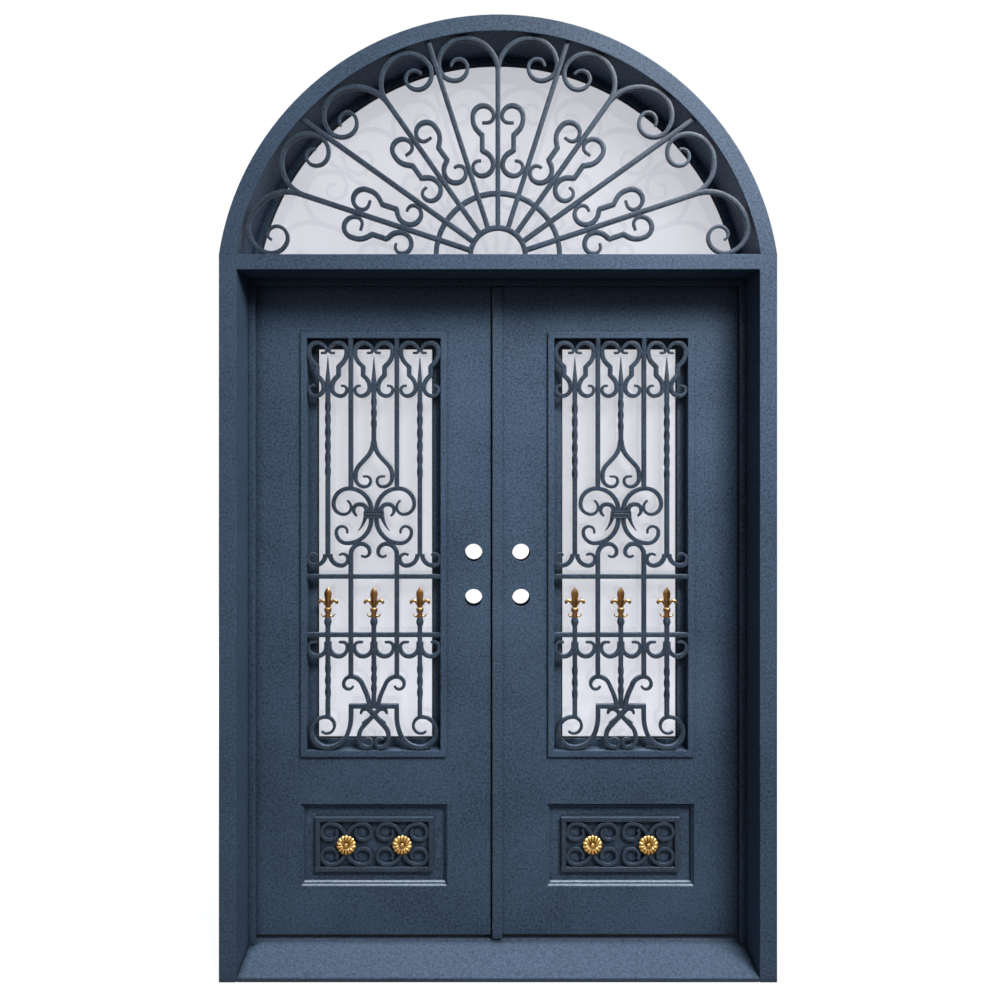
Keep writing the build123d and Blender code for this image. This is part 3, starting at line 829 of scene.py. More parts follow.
class Workshop:
    """The finishes and trees that the sub-assemblies share."""

    def __init__(self) -> None:
        """Makes every finish and tree once."""
        # painted shade: the iron's hollows are darkened less than the other powder coats
        iron = PowderCoat("powder-coated wrought iron", colour="3B495A", shade="1E2731", roughness=0.36,
                          specular=0.18, hollow_share=0.4, drift_mm=90, grit_mm=5, bump_mm=0.1)
        self.materials = {
            Slot.FRAME_PAINT: PowderCoat("powder-coated steel, frame").material(),
            Slot.LEAF_PAINT: PowderCoat("powder-coated steel, leaves", drift_mm=300).material(),
            Slot.IRON_PAINT: iron.material(),
            Slot.GOLD: AntiqueGold("antique gold paint on cast iron").material(),
            Slot.GLASS: FloatGlass("insulating float glass").material(),
            Slot.RUBBER: SealRubber("EPDM rubber").material(),
        }
        # painted shade: a near-black finish without sheen for the insides of the lock bores
        self.inside = PowderCoat("bare steel inside a leaf", colour="1B2026", shade="0B0D10", specular=0.0,
                                 dust_share=0.0).material()
        # partly dust, partly painted highlight: a paler, stronger mix on the panel moulding's up-facing edges,
        # with less painted shade
        self.ledge = PowderCoat("powder-coated steel, dusty ledges", dust=("8596AA", "BAC5D2"), dust_share=0.9,
                                hollow_share=0.3, hollow_mm=8).material()
        # painted shade: a darker copy of the gold for the fleurs-de-lis, with a stronger painted highlight on what
        # faces up
        self.bronze = AntiqueGold("bronzed gold paint on cast iron", bright="6E4C26", worn="402A14", dark="0E0804",
                                  rubbed="E0C794", rubbed_share=0.85).material()
        self.forge = forge_jig()
        self.repeat = repeat_jig()

    def hand_over(self, piece: bpy.types.Object, body: Body, slot: Slot, *nodes: str) -> None:
        """Gives a piece its slot's material if it has none, puts it on its body and hides the nodes it replaces.

        Args:
            piece: The finished mesh object.
            body: The body that it rides on.
            slot: The slot whose material it gets.
            nodes: CAD nodes that it replaces.
        """
        if not piece.data.materials:
            piece.data.materials.append(self.materials[slot])
        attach(piece, body.value)
        if nodes:
            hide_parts(*nodes)
        LOG.info("%s: %d faces on %s", piece.name, len(piece.data.polygons), body.value)

    def eased(self, node: str, body: Body, slot: Slot, width: float = 1.2, segments: int = 2) -> None:
        """Hands over a CAD node's form with eased edges, as a piece of its own."""
        self.hand_over(eased_edges(whole_copy(node, f"{node}_eased"), width, segments), body, slot, node)

    def glaze(self, node: str) -> None:
        """Gives a CAD node's pane its glass."""
        FRAME_NODES[node].data.materials.clear()
        FRAME_NODES[node].data.materials.append(self.materials[Slot.GLASS])

    def bars(self, name: str, bars: Sequence[Bar], origin: Place, slot: Slot, depth_ratio: float = 1.0,
             corner_ratio: float = 0.2) -> bpy.types.Object:
        """Forges bars into one mesh.

        Args:
            name: The mesh object's name.
            bars: The bars, drawn in the upright plane.
            origin: Where the plane's own origin lies: x, the bars' middle depth y, and z.
            slot: The finish.
            depth_ratio: Depth of a bar as a share of its width.
            corner_ratio: Radius of the eased corners as a share of the half width.

        Returns:
            The forged mesh.
        """
        curve = bpy.data.curves.new(name, "CURVE")
        curve.dimensions, curve.twist_mode = "3D", "Z_UP"
        for bar in bars:
            stations = bar.stations()
            spline = curve.splines.new("POLY")
            spline.points.add(len(stations) - 1)
            for point, (x, y, half, tilt) in zip(spline.points, stations):
                point.co = (x * MM, y * MM, 0, 1)
                point.radius, point.tilt = half * MM, tilt
        piece = self.forge.run(set_out(name + "_lines", curve), name, Depth_ratio=depth_ratio,
                               Corner_ratio=corner_ratio, Finish=self.materials[slot])
        piece.data.transform(Matrix.Translation(Vector(origin) * MM) @ Matrix.Rotation(radians(90), 4, "X"))
        return smooth(piece)

    def forged(self, node: str, body: Body, bars: Sequence[Bar], origin: Place, depth_ratio: float = 1.0) -> None:
        """Forges iron bars and hands them over in a CAD node's place."""
        piece = self.bars(f"{node}_forged", bars, origin, Slot.IRON_PAINT, depth_ratio)
        self.hand_over(piece, body, Slot.IRON_PAINT, node)

    def copies(self, name: str, pattern: bpy.types.Object, spots: Sequence[tuple[float, float, float, float]],
               slot: Slot) -> bpy.types.Object:
        """Sets a pattern piece out on spots and removes it.

        Args:
            name: The result's name.
            pattern: The piece to repeat.
            spots: For each copy its x, y, z in millimetres and its turn about the outward axis in degrees.
            slot: The finish.

        Returns:
            All copies as one mesh.
        """
        points = bpy.data.meshes.new(name)
        points.from_pydata([(x * MM, y * MM, z * MM) for x, y, z, _ in spots], [], [])
        turns = points.attributes.new("turn", "FLOAT", "POINT")
        turns.data.foreach_set("value", [radians(spot[3]) for spot in spots])
        result = self.repeat.run(set_out(name + "_spots", points), name, Piece=pattern,
                                 Finish=self.materials[slot])
        bpy.data.objects.remove(pattern)
        return result


# The door


@dataclass
class SteelFrame:
    """Jambs, arch and transom welded into one, the sill, the stops and the hinge halves on the frame."""

    edge: float = 3.0
    sill_edge: float = 3.5
    edge_faces: int = 3
    welded_nodes: tuple[str, ...] = ("left_jamb", "right_jamb", "arch_frame", "transom_bar")
    fine_nodes: tuple[str, ...] = ("left_stop", "right_stop", "head_stop", "left_hinge_pins", "right_hinge_pins")

    def build(self, shop: Workshop) -> None:
        """Dresses the frame's pieces.

        Args:
            shop: The shared finishes and trees.
        """
        surround = eased_edges(welded(self.welded_nodes, "welded_surround"), self.edge, self.edge_faces)
        shop.hand_over(surround, Body.FRAME, Slot.FRAME_PAINT, *self.welded_nodes)
        shop.eased("sill", Body.FRAME, Slot.FRAME_PAINT, self.sill_edge, self.edge_faces)
        for node in self.fine_nodes:
            shop.eased(node, Body.FRAME, Slot.FRAME_PAINT)


@dataclass(frozen=True)
class FanRay:
    """A ray that carries two rim scrolls and a lyre, measured along it from the point that the rays spread from.

    The radii are those of a scroll's quarter turns. Outer is the side away from the middle of the door, and inner
    the side towards it.
    """

    outer_start: float
    inner_start: float
    outer_radii: tuple[float, ...]
    inner_radii: tuple[float, ...]
    lyre_kink: float


@dataclass
class Fanlight:
    """The fixed light over the leaves: nine rays, two half rings, rim scrolls, lyres, bead, seal and glass."""

    springing: float = 2121.0
    arch_centre: float = 1996.5
    arch_radius: float = 774.5
    aim_drop: float = 12.0
    angles: tuple[float, ...] = (0.0, 17.8, 35.2, 54.4, 71.7)
    bar: float = 14.5
    tip: float = 7.975
    thickness: float = 13.0
    ring_share: float = 0.96
    scroll_share: float = 0.92
    middle_depth: float = -75.5
    inner_ring: float = 80.0
    outer_ring: float = 181.0
    lyre_reach: float = 46.0
    lyre_waist: float = 44.0
    seal_depths: tuple[float, float] = (56.0, 59.8)
    bead_width: float = 20.0
    seal_width: float = 5.0
    half_width: float = 762.0
    ray_lap: float = 2.0

    def carriers(self) -> dict[float, FanRay]:
        """The rays that carry scrolls and a lyre.

        Returns:
            Each such ray, by its lean in degrees.
        """
        middle = (96, 77, 46, 38, 26, 22)
        return {
            self.angles[0]: FanRay(550.0, 550.0, middle, middle, 363.0),
            self.angles[2]: FanRay(558.0, 565.0, (112, 75.5, 47.5, 39, 24, 26),
                                   (90.5, 72.5, 48, 36.5, 26, 25), 367.0),
            self.angles[4]: FanRay(610.5, 594.5, (117.5, 76.5, 49, 35, 26.5, 17),
                                   (100.5, 77, 51, 35, 26, 21), 372.0),
        }

    def reach(self, angle: float) -> float:
        """Distance along a ray from its aim point to the arch.

        Args:
            angle: The ray's lean in degrees.

        Returns:
            The distance.
        """
        drop = self.springing - self.aim_drop - self.arch_centre
        along = drop * cos(radians(angle))
        return sqrt(self.arch_radius**2 - drop**2 + along**2) - along

    def rays(self) -> list[Bar]:
        """The nine rays.

        Returns:
            The bars, from the middle outwards.
        """
        found, carriers = [], self.carriers()
        for angle in self.angles:
            foot = self.inner_ring + self.aim_drop * cos(radians(angle))
            end = self.reach(angle) + self.ray_lap
            if angle in carriers:
                end = carriers[angle].outer_start + self.bar
            ray = straight(0, foot, end, self.bar)
            found += [ray.leaned(lean, -self.aim_drop) for lean in {angle, -angle}]
        return found

    def rim_scrolls(self) -> list[Bar]:
        """Ten scrolls against the arch, two on every other ray.

        Returns:
            The bars.
        """
        found = []
        for angle, ray in self.carriers().items():
            left = Bar((0, ray.outer_start), 90, to_left(*ray.outer_radii), self.bar, self.tip, Taper.LATE)
            right = replace(left, start=(0, ray.inner_start), steps=to_left(*ray.inner_radii)).mirrored()
            for bar in (left, right):
                leaned = bar.leaned(-angle, -self.aim_drop)
                found += pair(leaned) if angle else [leaned]
        return found

    def lyres(self) -> list[Bar]:
        """Five lyres, one across every other ray.

        Returns:
            The bars.
        """
        beside = -self.lyre_reach
        outer = ((18, 0), (50, -45), (8, 0), (31, -90), (30, -90), (20, -90), (14, 0))
        inner = ((14, 0), (40, -60), (33, -90), (26, -90), (18, -90), (6, 0))
        found = []
        for angle, ray in self.carriers().items():
            kink = ray.lyre_kink
            for bar in (Bar((beside, kink), 135, outer, self.bar, self.tip, Taper.LATE),
                        Bar((beside, kink + 3), -90, ((self.lyre_waist + 6, 0),), self.bar, self.bar),
                        Bar((beside, kink - self.lyre_waist), -30, inner, self.bar, self.tip, Taper.LATE)):
                for lean in {angle, -angle}:
                    found += [half.leaned(lean, -self.aim_drop) for half in pair(bar)]
        return found

    def outline(self, inset: float, count: int = 72) -> list[Point]:
        """The fanlight's opening, smaller by an inset.

        Args:
            inset: How far inside the opening.
            count: Points along the arc.

        Returns:
            Points of the closed outline, as x and z.
        """
        radius, foot = self.arch_radius - inset, self.springing + inset
        side = min(self.half_width - inset, sqrt(radius**2 - (foot - self.arch_centre) ** 2))
        start = acos(side / radius)
        turns = [start + (pi - 2 * start) * i / count for i in range(count + 1)]
        arc = [(radius * cos(turn), self.arch_centre + radius * sin(turn)) for turn in turns]
        ends = [(side, foot)] if arc[0][1] > foot + 0.1 else []
        return ends + arc + [(-x, z) for x, z in ends]

    def build(self, shop: Workshop) -> None:
        """Forges the fan and sets its bead, seal and glass.

        Args:
            shop: The shared finishes and trees.
        """
        origin, flat = (0.0, self.middle_depth, self.springing), self.thickness / self.bar
        rings = [Bar((-r, 0), 90, ((r, -180),), self.bar, self.bar) for r in (self.inner_ring, self.outer_ring)]
        for node, bars, share in (("fan_rays", self.rays() + rings[:1], 1.0),
                                  ("fan_ring", rings[1:], self.ring_share),
                                  ("fan_rim_scrolls", self.rim_scrolls(), self.scroll_share),
                                  ("fan_lyres", self.lyres(), self.scroll_share)):
            shop.forged(node, Body.FRAME, bars, origin, flat * share)
        shop.eased("fanlight_bead", Body.FRAME, Slot.FRAME_PAINT)
        seal = rubber_ring("fanlight_seal", self.outline(self.bead_width),
                           self.outline(self.bead_width + self.seal_width), *self.seal_depths)
        shop.hand_over(seal, Body.FRAME, Slot.RUBBER)
        shop.glaze("fanlight_glass")


@dataclass
class WindowIronwork:
    """The ironwork in a leaf's window, drawn from the middle of the window's bottom edge.

    A twist is the length of the straight part below it, its own length, and its turn in degrees.
    """

    side: Side
    window_x: float = 381.25
    width: float = 412.0
    height: float = 1271.0
    bottom: float = 625.0
    bar: float = 14.0
    scroll: float = 13.8
    tip: float = 6.9
    pitch: float = 142.0
    middle_depth: float = 39.0
    rails: tuple[float, float] = (536.5, 356.5)
    rail_bar: float = 13.6
    spear_base: float = 128.0
    spear_tip: float = 58.0
    spear_point: float = 2.0
    side_spear_foot: float = 605.0
    between_foot: float = 808.0
    between_low: tuple[float, float] = (228.0, 604.0)
    heart_top: float = 955.0
    collar_top: float = 739.0
    collar_middle: float = 727.5
    collar_half: tuple[float, float] = (31.0, 12.0)
    collar_round: float = 4.0
    collar_least_round: float = 0.4
    collar_corner_points: int = 5
    collar_steps: tuple[Point, ...] = ((46, 0.5), (45.5, 0), (30.2, 0), (29.3, 0.3), (29, 1), (29, 3.2),
                                       (29.4, 3.9), (31, 4.3), (31, 6.8), (30.2, 7.6), (29.8, 8.6))
    spike_foot: float = 99.0
    spike_top: float = 392.0
    pi_height: float = 136.0
    side_twist: Place = (231.0, 240.0, 540.0)
    middle_twist: Place = (33.0, 100.0, 270.0)
    side_spike_twist: Place = (58.0, 108.0, 270.0)
    middle_spike_twist: Place = (36.0, 92.0, 270.0)
    lyre_reach: float = 33.0
    lyre_kink: float = 88.0
    lyre_waist: float = 26.5

    def curl(self, start: Point, heading: float, steps: Iterable[Step]) -> Bar:
        """A scroll bar that narrows to its tip."""
        return Bar(start, heading, tuple(steps), self.scroll, self.tip, Taper.LATE)

    def twisted(self, x: float, low: float, high: float, plain: float, length: float, twist: float) -> Bar:
        """An upright bar with a twisted stretch.

        Args:
            x: Where it stands.
            low: Height of its foot.
            high: Height of its top.
            plain: Length of the straight part below the twist.
            length: Length of the twisted part.
            twist: Its twist in degrees.

        Returns:
            The bar.
        """
        run = ((plain, 0), (length, 0, twist), (high - low - plain - length, 0))
        return Bar((x, low), 90, run, self.bar, self.bar)

    def uprights(self) -> list[Bar]:
        """Spears, straight bars and spikes, with their twisted stretches, and the rails.

        Returns:
            The bars.
        """
        neck = self.height - self.spear_base
        found = []
        for row in (-1, 0, 1):
            x = row * self.pitch
            if row:
                found.append(self.twisted(x, self.side_spear_foot, neck, *self.side_twist))
                found.append(self.twisted(x, self.spike_foot, self.spike_top, *self.side_spike_twist))
            else:
                found.append(self.twisted(x, self.heart_top, neck, *self.middle_twist))
                found.append(self.twisted(x, self.pi_height, self.spike_top, *self.middle_spike_twist))
            found.append(straight(x, neck, self.height - self.spear_tip, self.bar, self.spear_point))
        for row in (-0.5, 0.5):
            found.append(straight(row * self.pitch, self.between_foot, self.height, self.bar))
            found.append(straight(row * self.pitch, *self.between_low, self.bar))
        for height in self.rails:
            found.append(Bar((-self.width / 2, height), 0, ((self.width, 0),), self.rail_bar, self.rail_bar))
        return found

    def spear_lyre(self) -> list[Bar]:
        """The lyre round a spear.

        Returns:
            The bars of both its halves.
        """
        x, kink, waist = -self.lyre_reach, self.height - self.lyre_kink, self.lyre_waist
        upper = ((14.5, 0), (50, -45), (3, 0), (25.5, -90), (29, -74), (7.5, -104), (10, 0))
        lower = ((6, 0), (43.5, -50), (26, -90), (19.5, -90), (12, -90), (6, 0))
        return (pair(self.curl((x, kink), 135, upper)) + pair(self.curl((x, kink - waist), -40, lower))
                + pair(Bar((x, kink + 3), -90, ((waist + 6, 0),), self.scroll, self.scroll)))

    def scrolls(self) -> list[Bar]:
        """Every bent bar of the window.

        Returns:
            The bars: what repeats under the spears and rails first, and then the middle from the top down.
        """
        top, pi_row, low_kink = self.collar_top, self.pi_height, self.pi_height - 27
        rail_curl = ((14, 0), (30, -90), (26, -90), (3, 0), (14.5, -90), (12, 0))
        side_curl = to_right(to_left(35, 20, 16) + ((14, 50),))
        found = []
        for row in (-1, 0, 1):
            repeated = self.spear_lyre() + pair(self.curl((-4, 334), -90, rail_curl))
            if row:
                repeated += pair(self.curl((-self.bar / 2, self.side_spear_foot), -90, side_curl))
            found += [half.moved(row * self.pitch) for half in repeated]
        low_curl = ((26, 0),) + to_right(to_left(74, 34, 18, 16) + ((12, 30),))
        tall_hook = ((170, 16), (26, 0), (37, 66), (23, 90), (16, 90), (14, 75))
        pi_leg = ((30, 0), (150, -22), (66, -68), (50, -90), (44, -90), (27, -90), (24, -90), (20, -50))
        heart = ((75, -43), (32, 0), (46, 43), (8, 0), (28, 90), (18.5, 90), (13.5, 90), (11, 0))
        for start, heading, steps in (
                ((-2, self.heart_top), -90, heart),
                ((-7.5, top), 90, to_left(69, 48, 32, 22) + ((24, 60),)),
                ((-8, top), -90, low_curl),
                ((-22.5, top), 90, ((2, 0), (18, 90), (5, 0), (17, 90), (22, 60))),
                ((-self.pitch / 2, self.between_low[1]), 90, to_right(to_left(33, 25, 15) + ((14, 50),))),
                ((-13, pi_row), 98, tall_hook),
                ((-70.5, pi_row), -90, pi_leg),
                ((0, low_kink), 133, ((20, 0), (15, 47), (15, 90), (10, 10))),
                ((0, low_kink), -133, ((48, 0), (48, 43), (6, 0), (26, 90), (13.5, 90), (13, 90), (9, 60)))):
            found += pair(self.curl(start, heading, steps))
        found += pair(Bar((-24.5, top - 10), -97, ((95, -35),), self.scroll, 2.5))
        found += pair(Bar((-20, pi_row - 43), -145, ((19, 0),), 10, 8))
        found.append(Bar((-77, pi_row), 0, ((154, 0),), self.scroll, self.scroll))
        return found

    def collar(self) -> bpy.types.Object:
        """The collar round the middle scrolls: a band with a raised border and a raised middle.

        Returns:
            The new object.
        """
        x, z = self.side.value * self.window_x, self.bottom + self.collar_middle
        half_w, half_h = (half - self.collar_round for half in self.collar_half)
        rings = []
        for depth, inset in self.collar_steps:
            reach = max(self.collar_round - inset, self.collar_least_round)
            squeeze = max(inset - self.collar_round + self.collar_least_round, 0)
            ring = []
            for corner, (sx, sz) in enumerate(((1, 1), (-1, 1), (-1, -1), (1, -1))):
                for i in range(self.collar_corner_points):
                    angle = radians(90 * (corner + i / (self.collar_corner_points - 1)))
                    ring.append((x + sx * (half_w - squeeze) + reach * cos(angle), depth,
                                 z + sz * (half_h - squeeze) + reach * sin(angle)))
            rings.append(ring)
        return smooth(skin(f"{self.side.word}_grille_collar_wrapped", rings), 35)

    def build(self, shop: Workshop) -> None:
        """Forges the window's ironwork and its ornaments.

        Args:
            shop: The shared finishes and trees.
        """
        word, body = self.side.word, self.side.body
        origin = (self.side.value * self.window_x, self.middle_depth, self.bottom)
        shop.forged(f"{word}_grille_bars", body, self.uprights(), origin)
        shop.forged(f"{word}_grille_scrolls", body, self.scrolls(), origin, 0.98)
        shop.hand_over(self.collar(), body, Slot.IRON_PAINT, f"{word}_grille_collar")
        spots = [(origin[0] + row * self.pitch, self.middle_depth, self.bottom + self.spike_top, 0.0)
                 for row in (-1, 0, 1)]
        lily = FleurDeLis()
        # painted shade: the lilies get the darker copy of the gold
        gilt = smooth(shop.copies(f"{word}_fleur_de_lis_gilt", lily.gilt(shop), spots, Slot.GOLD))
        gilt.data.materials.clear()
        gilt.data.materials.append(shop.bronze)
        shop.hand_over(gilt, body, Slot.GOLD, f"{word}_fleur_de_lis")
        sockets = smooth(shop.copies(f"{word}_spike_sockets", lily.socket(), spots, Slot.IRON_PAINT))
        shop.hand_over(sockets, body, Slot.IRON_PAINT)


@dataclass
class FleurDeLis:
    """A cast fleur-de-lis finial on the end of a spike, from the spike's top up.

    A ring is its height, half width and half depth.
    """

    socket_rings: tuple[Place, ...] = ((-11, 7.4, 7.2), (-6, 8.6, 8.2), (-1, 10.6, 9.6), (4, 11.5, 10.6),
                                       (8, 11.1, 10.2), (13, 9.4, 9), (17, 8.2, 8), (19, 7.6, 7.4))
    shank_rings: tuple[Place, ...] = ((17, 7.6, 7.4), (20, 8.6, 8), (26, 8.2, 7.6), (31, 7.8, 7.4), (36, 8, 7.4))
    band_rings: tuple[Place, ...] = ((33.5, 8, 7.4), (35, 10.4, 9.2), (37.5, 11.3, 10.2), (40, 10.4, 9.6),
                                     (41.2, 10.6, 9.8), (44, 11.6, 10.6), (46.5, 11, 10), (48.5, 8.6, 7.6),
                                     (49.5, 6, 5))
    petal_rings: tuple[Place, ...] = ((46, 5, 4.6), (54, 6.4, 5.6), (62, 7.6, 6.4), (72, 9.2, 7), (82, 10.8, 7.2),
                                      (90, 11.6, 6.8), (96, 10.8, 5.8), (101, 8.4, 4.6), (105, 5.6, 3.2),
                                      (108.5, 3, 1.8), (111.5, 0.4, 0.4))

    def socket(self) -> bpy.types.Object:
        """The knuckle at the top of the spike."""
        return loft("socket", self.socket_rings, 16, 2.6)

    def gilt(self, shop: Workshop) -> bpy.types.Object:
        """The lily: shank, small horns, band, side petals and ridged middle petal.

        Args:
            shop: The shared finishes and trees.

        Returns:
            The new object.
        """
        cast = [loft("shank", self.shank_rings, 16), loft("band", self.band_rings, 20),
                loft("petal", self.petal_rings, 8, 1.0)]
        petal = Bar((-3, 50), 120, ((18, 0), (9, 95), (5, 75), (2.5, 0)), 6.5, 10.4, Taper.PETAL)
        horn = Bar((-4, 22.5), 192, ((6.5, 0), (8, -92), (1.5, 0)), 8.4, 2.6)
        return joined("lily", cast + [shop.bars("side_petals", pair(petal) + pair(horn), (0, 0, 0), Slot.GOLD,
                                                0.95, 0.8)])


@dataclass
class Rosette:
    """A cast rosette: a dished disc, a crown of petals whose tips turn down, and a boss in a groove; back at y 0.

    A profile's points are radius and depth.
    """

    radius: float = 29.5
    groove: float = 12.5
    petals: int = 14
    wall: float = 1.4
    turn_down: float = 0.66  # share of a petal's length where its end begins to round off
    petal_fill: float = 0.98  # share of its sector that a petal fills
    tip_share: float = 0.25  # width of a petal's very end, as a share of its full width
    crest: tuple[float, float] = (2.0, 4.8)  # least height of a petal's ridge, and how much it rises
    crest_wave: tuple[float, float] = (0.12, 0.86)  # start and length of the rise, as shares of a half wave
    crest_power: float = 0.8  # under 1 for a blunter ridge
    side_fall: float = 0.62  # share of the ridge's height that is lost at a petal's sides
    rim: float = 0.3  # least height of a petal above the back
    boss: tuple[Point, ...] = ((0, -7.0), (2.4, -6.8), (4.8, -6.0), (6.3, -4.4), (6.8, -2.4), (6.8, -0.6))
    dish: tuple[Point, ...] = ((0, -0.7), (11.5, -0.7), (13.5, -2.2), (20, -2.4), (25, -1.2), (26.5, 0))

    def petal(self, rows: int = 10, across: int = 6) -> bpy.types.Object:
        """One domed petal that points up, with its tip turned down.

        Args:
            rows: Faces along it.
            across: Faces across it.

        Returns:
            The new object.
        """
        points, faces = [], []
        for r in range(rows + 1):
            share = r / rows
            along = self.groove + (self.radius - self.groove) * share
            tip = sqrt(max(0.0, 1 - max(0.0, (share - self.turn_down) / (1 - self.turn_down)) ** 2))
            half = along * pi / self.petals * self.petal_fill
            if share > self.turn_down:
                half *= self.tip_share + (1 - self.tip_share) * tip
            wave = sin(pi * min(1.0, self.crest_wave[0] + share * self.crest_wave[1]))
            crest = self.crest[0] + self.crest[1] * wave**self.crest_power
            for c in range(across + 1):
                lean = -1 + 2 * c / across
                points.append((half * lean, -max(self.rim, crest * (1 - self.side_fall * lean**2)), along))
        for r in range(rows):
            for a in range(r * (across + 1), r * (across + 1) + across):
                faces.append((a, a + 1, a + across + 2, a + across + 1))
        piece = mesh_of("petal", points, faces)
        thick = piece.modifiers.new("thickness", "SOLIDIFY")
        thick.thickness, thick.offset = self.wall * MM, 1.0
        return plain_mesh(piece, "petal")

    def disc(self, name: str, profile: Sequence[Point], count: int = 28) -> bpy.types.Object:
        """A round form turned from a profile that starts in its middle.

        Args:
            name: The object's name.
            profile: Radius and depth of each ring.
            count: Points in a ring.

        Returns:
            The new object.
        """
        turns = [2 * pi * i / count for i in range(count)]
        return skin(name, [[(radius * cos(turn), depth, radius * sin(turn)) for turn in turns]
                           for radius, depth in profile], first=False)

    def build(self, shop: Workshop) -> bpy.types.Object:
        """The rosette's mesh.

        Args:
            shop: The shared finishes and trees.

        Returns:
            The new object.
        """
        spots = [(0.0, 0.0, 0.0, 360 * i / self.petals) for i in range(self.petals)]
        crown = shop.copies("crown", self.petal(), spots, Slot.GOLD)
        return joined("rosette", [crown, self.disc("boss", self.boss), self.disc("dish", self.dish)])


@dataclass
class LowerPanel:
    """The recessed panel at a leaf's foot: a grille of iron scrolls with two gilt rosettes."""

    side: Side
    window_x: float = 381.25
    middle: float = 329.5
    floor: float = 56.0
    recess: tuple[float, float] = (456.0, 250.0)
    width: float = 366.0
    height: float = 170.0
    frame_bar: float = 15.0
    scroll_bar: float = 11.5
    scroll_tip: float = 8.97
    scroll_share: float = 0.96
    depth: float = 12.0
    rosette_x: float = 86.5
    moulding_section: tuple[Point, ...] = ((0.3, 40.6), (3.3, 46.4), (7.2, 46.6), (7.8, 46.9), (9.6, 50.8),
                                           (9.8, 51.4), (9.8, 56.2), (6.6, 56.2))

    def border(self) -> list[Bar]:
        """The grille's four border bars.

        Returns:
            The bars.
        """
        half_w, half_h, bar = self.width / 2, self.height / 2, self.frame_bar
        level = [Bar((-half_w, z), 0, ((self.width, 0),), bar, bar)
                 for z in (-half_h + bar / 2, half_h - bar / 2)]
        upright = [straight(x, -half_h + bar, half_h - bar, bar)
                   for x in (-half_w + bar / 2, half_w - bar / 2)]
        return level + upright

    def scrolls(self) -> list[Bar]:
        """The four scrolls about each rosette.

        Returns:
            The bars.
        """
        steps: tuple[Step, ...] = ((22, 0), (48, 60), (27, 90), (22.5, 90), (6, 0), (20, 90), (20, 38))
        upper = Bar((2.6, 20.7), 120, steps, self.scroll_bar, self.scroll_tip)
        lower = replace(upper, start=(2.6, -20.7), heading=-120, steps=to_right(steps))
        return [half.moved(place) for place in (-self.rosette_x, self.rosette_x) for scroll in (upper, lower)
                for half in pair(scroll)]

    def moulding(self) -> bpy.types.Object:
        """The stepped strip mitred round the recess, between its sloped side and its floor.

        Returns:
            The new object.
        """
        half_w, half_h = self.recess[0] / 2, self.recess[1] / 2
        x, z = self.side.value * self.window_x, self.middle
        corners = ((-1, -1), (1, -1), (1, 1), (-1, 1))
        return skin(f"{self.side.word}_panel_moulding",
                    [[(x + sx * (half_w - inset), depth, z + sz * (half_h - inset))
                      for inset, depth in self.moulding_section] for sx, sz in corners], looped=True)

    def build(self, shop: Workshop) -> None:
        """Forges the grille and sets its rosettes and the moulding.

        Args:
            shop: The shared finishes and trees.
        """
        word, body = self.side.word, self.side.body
        x = self.side.value * self.window_x
        origin = (x, self.floor - self.depth / 2, self.middle)
        grille = joined(f"{word}_panel_grille_forged", [
            shop.bars("border", self.border(), origin, Slot.IRON_PAINT, self.depth / self.frame_bar),
            shop.bars("scrolls", self.scrolls(), origin, Slot.IRON_PAINT, self.scroll_share)])
        shop.hand_over(grille, body, Slot.IRON_PAINT, f"{word}_panel_grille")
        spots = [(x + place, self.floor - self.depth, self.middle, 0.0)
                 for place in (-self.rosette_x, self.rosette_x)]
        rosettes = smooth(shop.copies(f"{word}_rosettes_gilt", Rosette().build(shop), spots, Slot.GOLD), 45)
        shop.hand_over(rosettes, body, Slot.GOLD, f"{word}_rosettes")
        moulding = self.moulding()
        # the moulding's up-facing edges get dust and a painted highlight
        moulding.data.materials.append(shop.ledge)
        shop.hand_over(moulding, body, Slot.LEAF_PAINT)


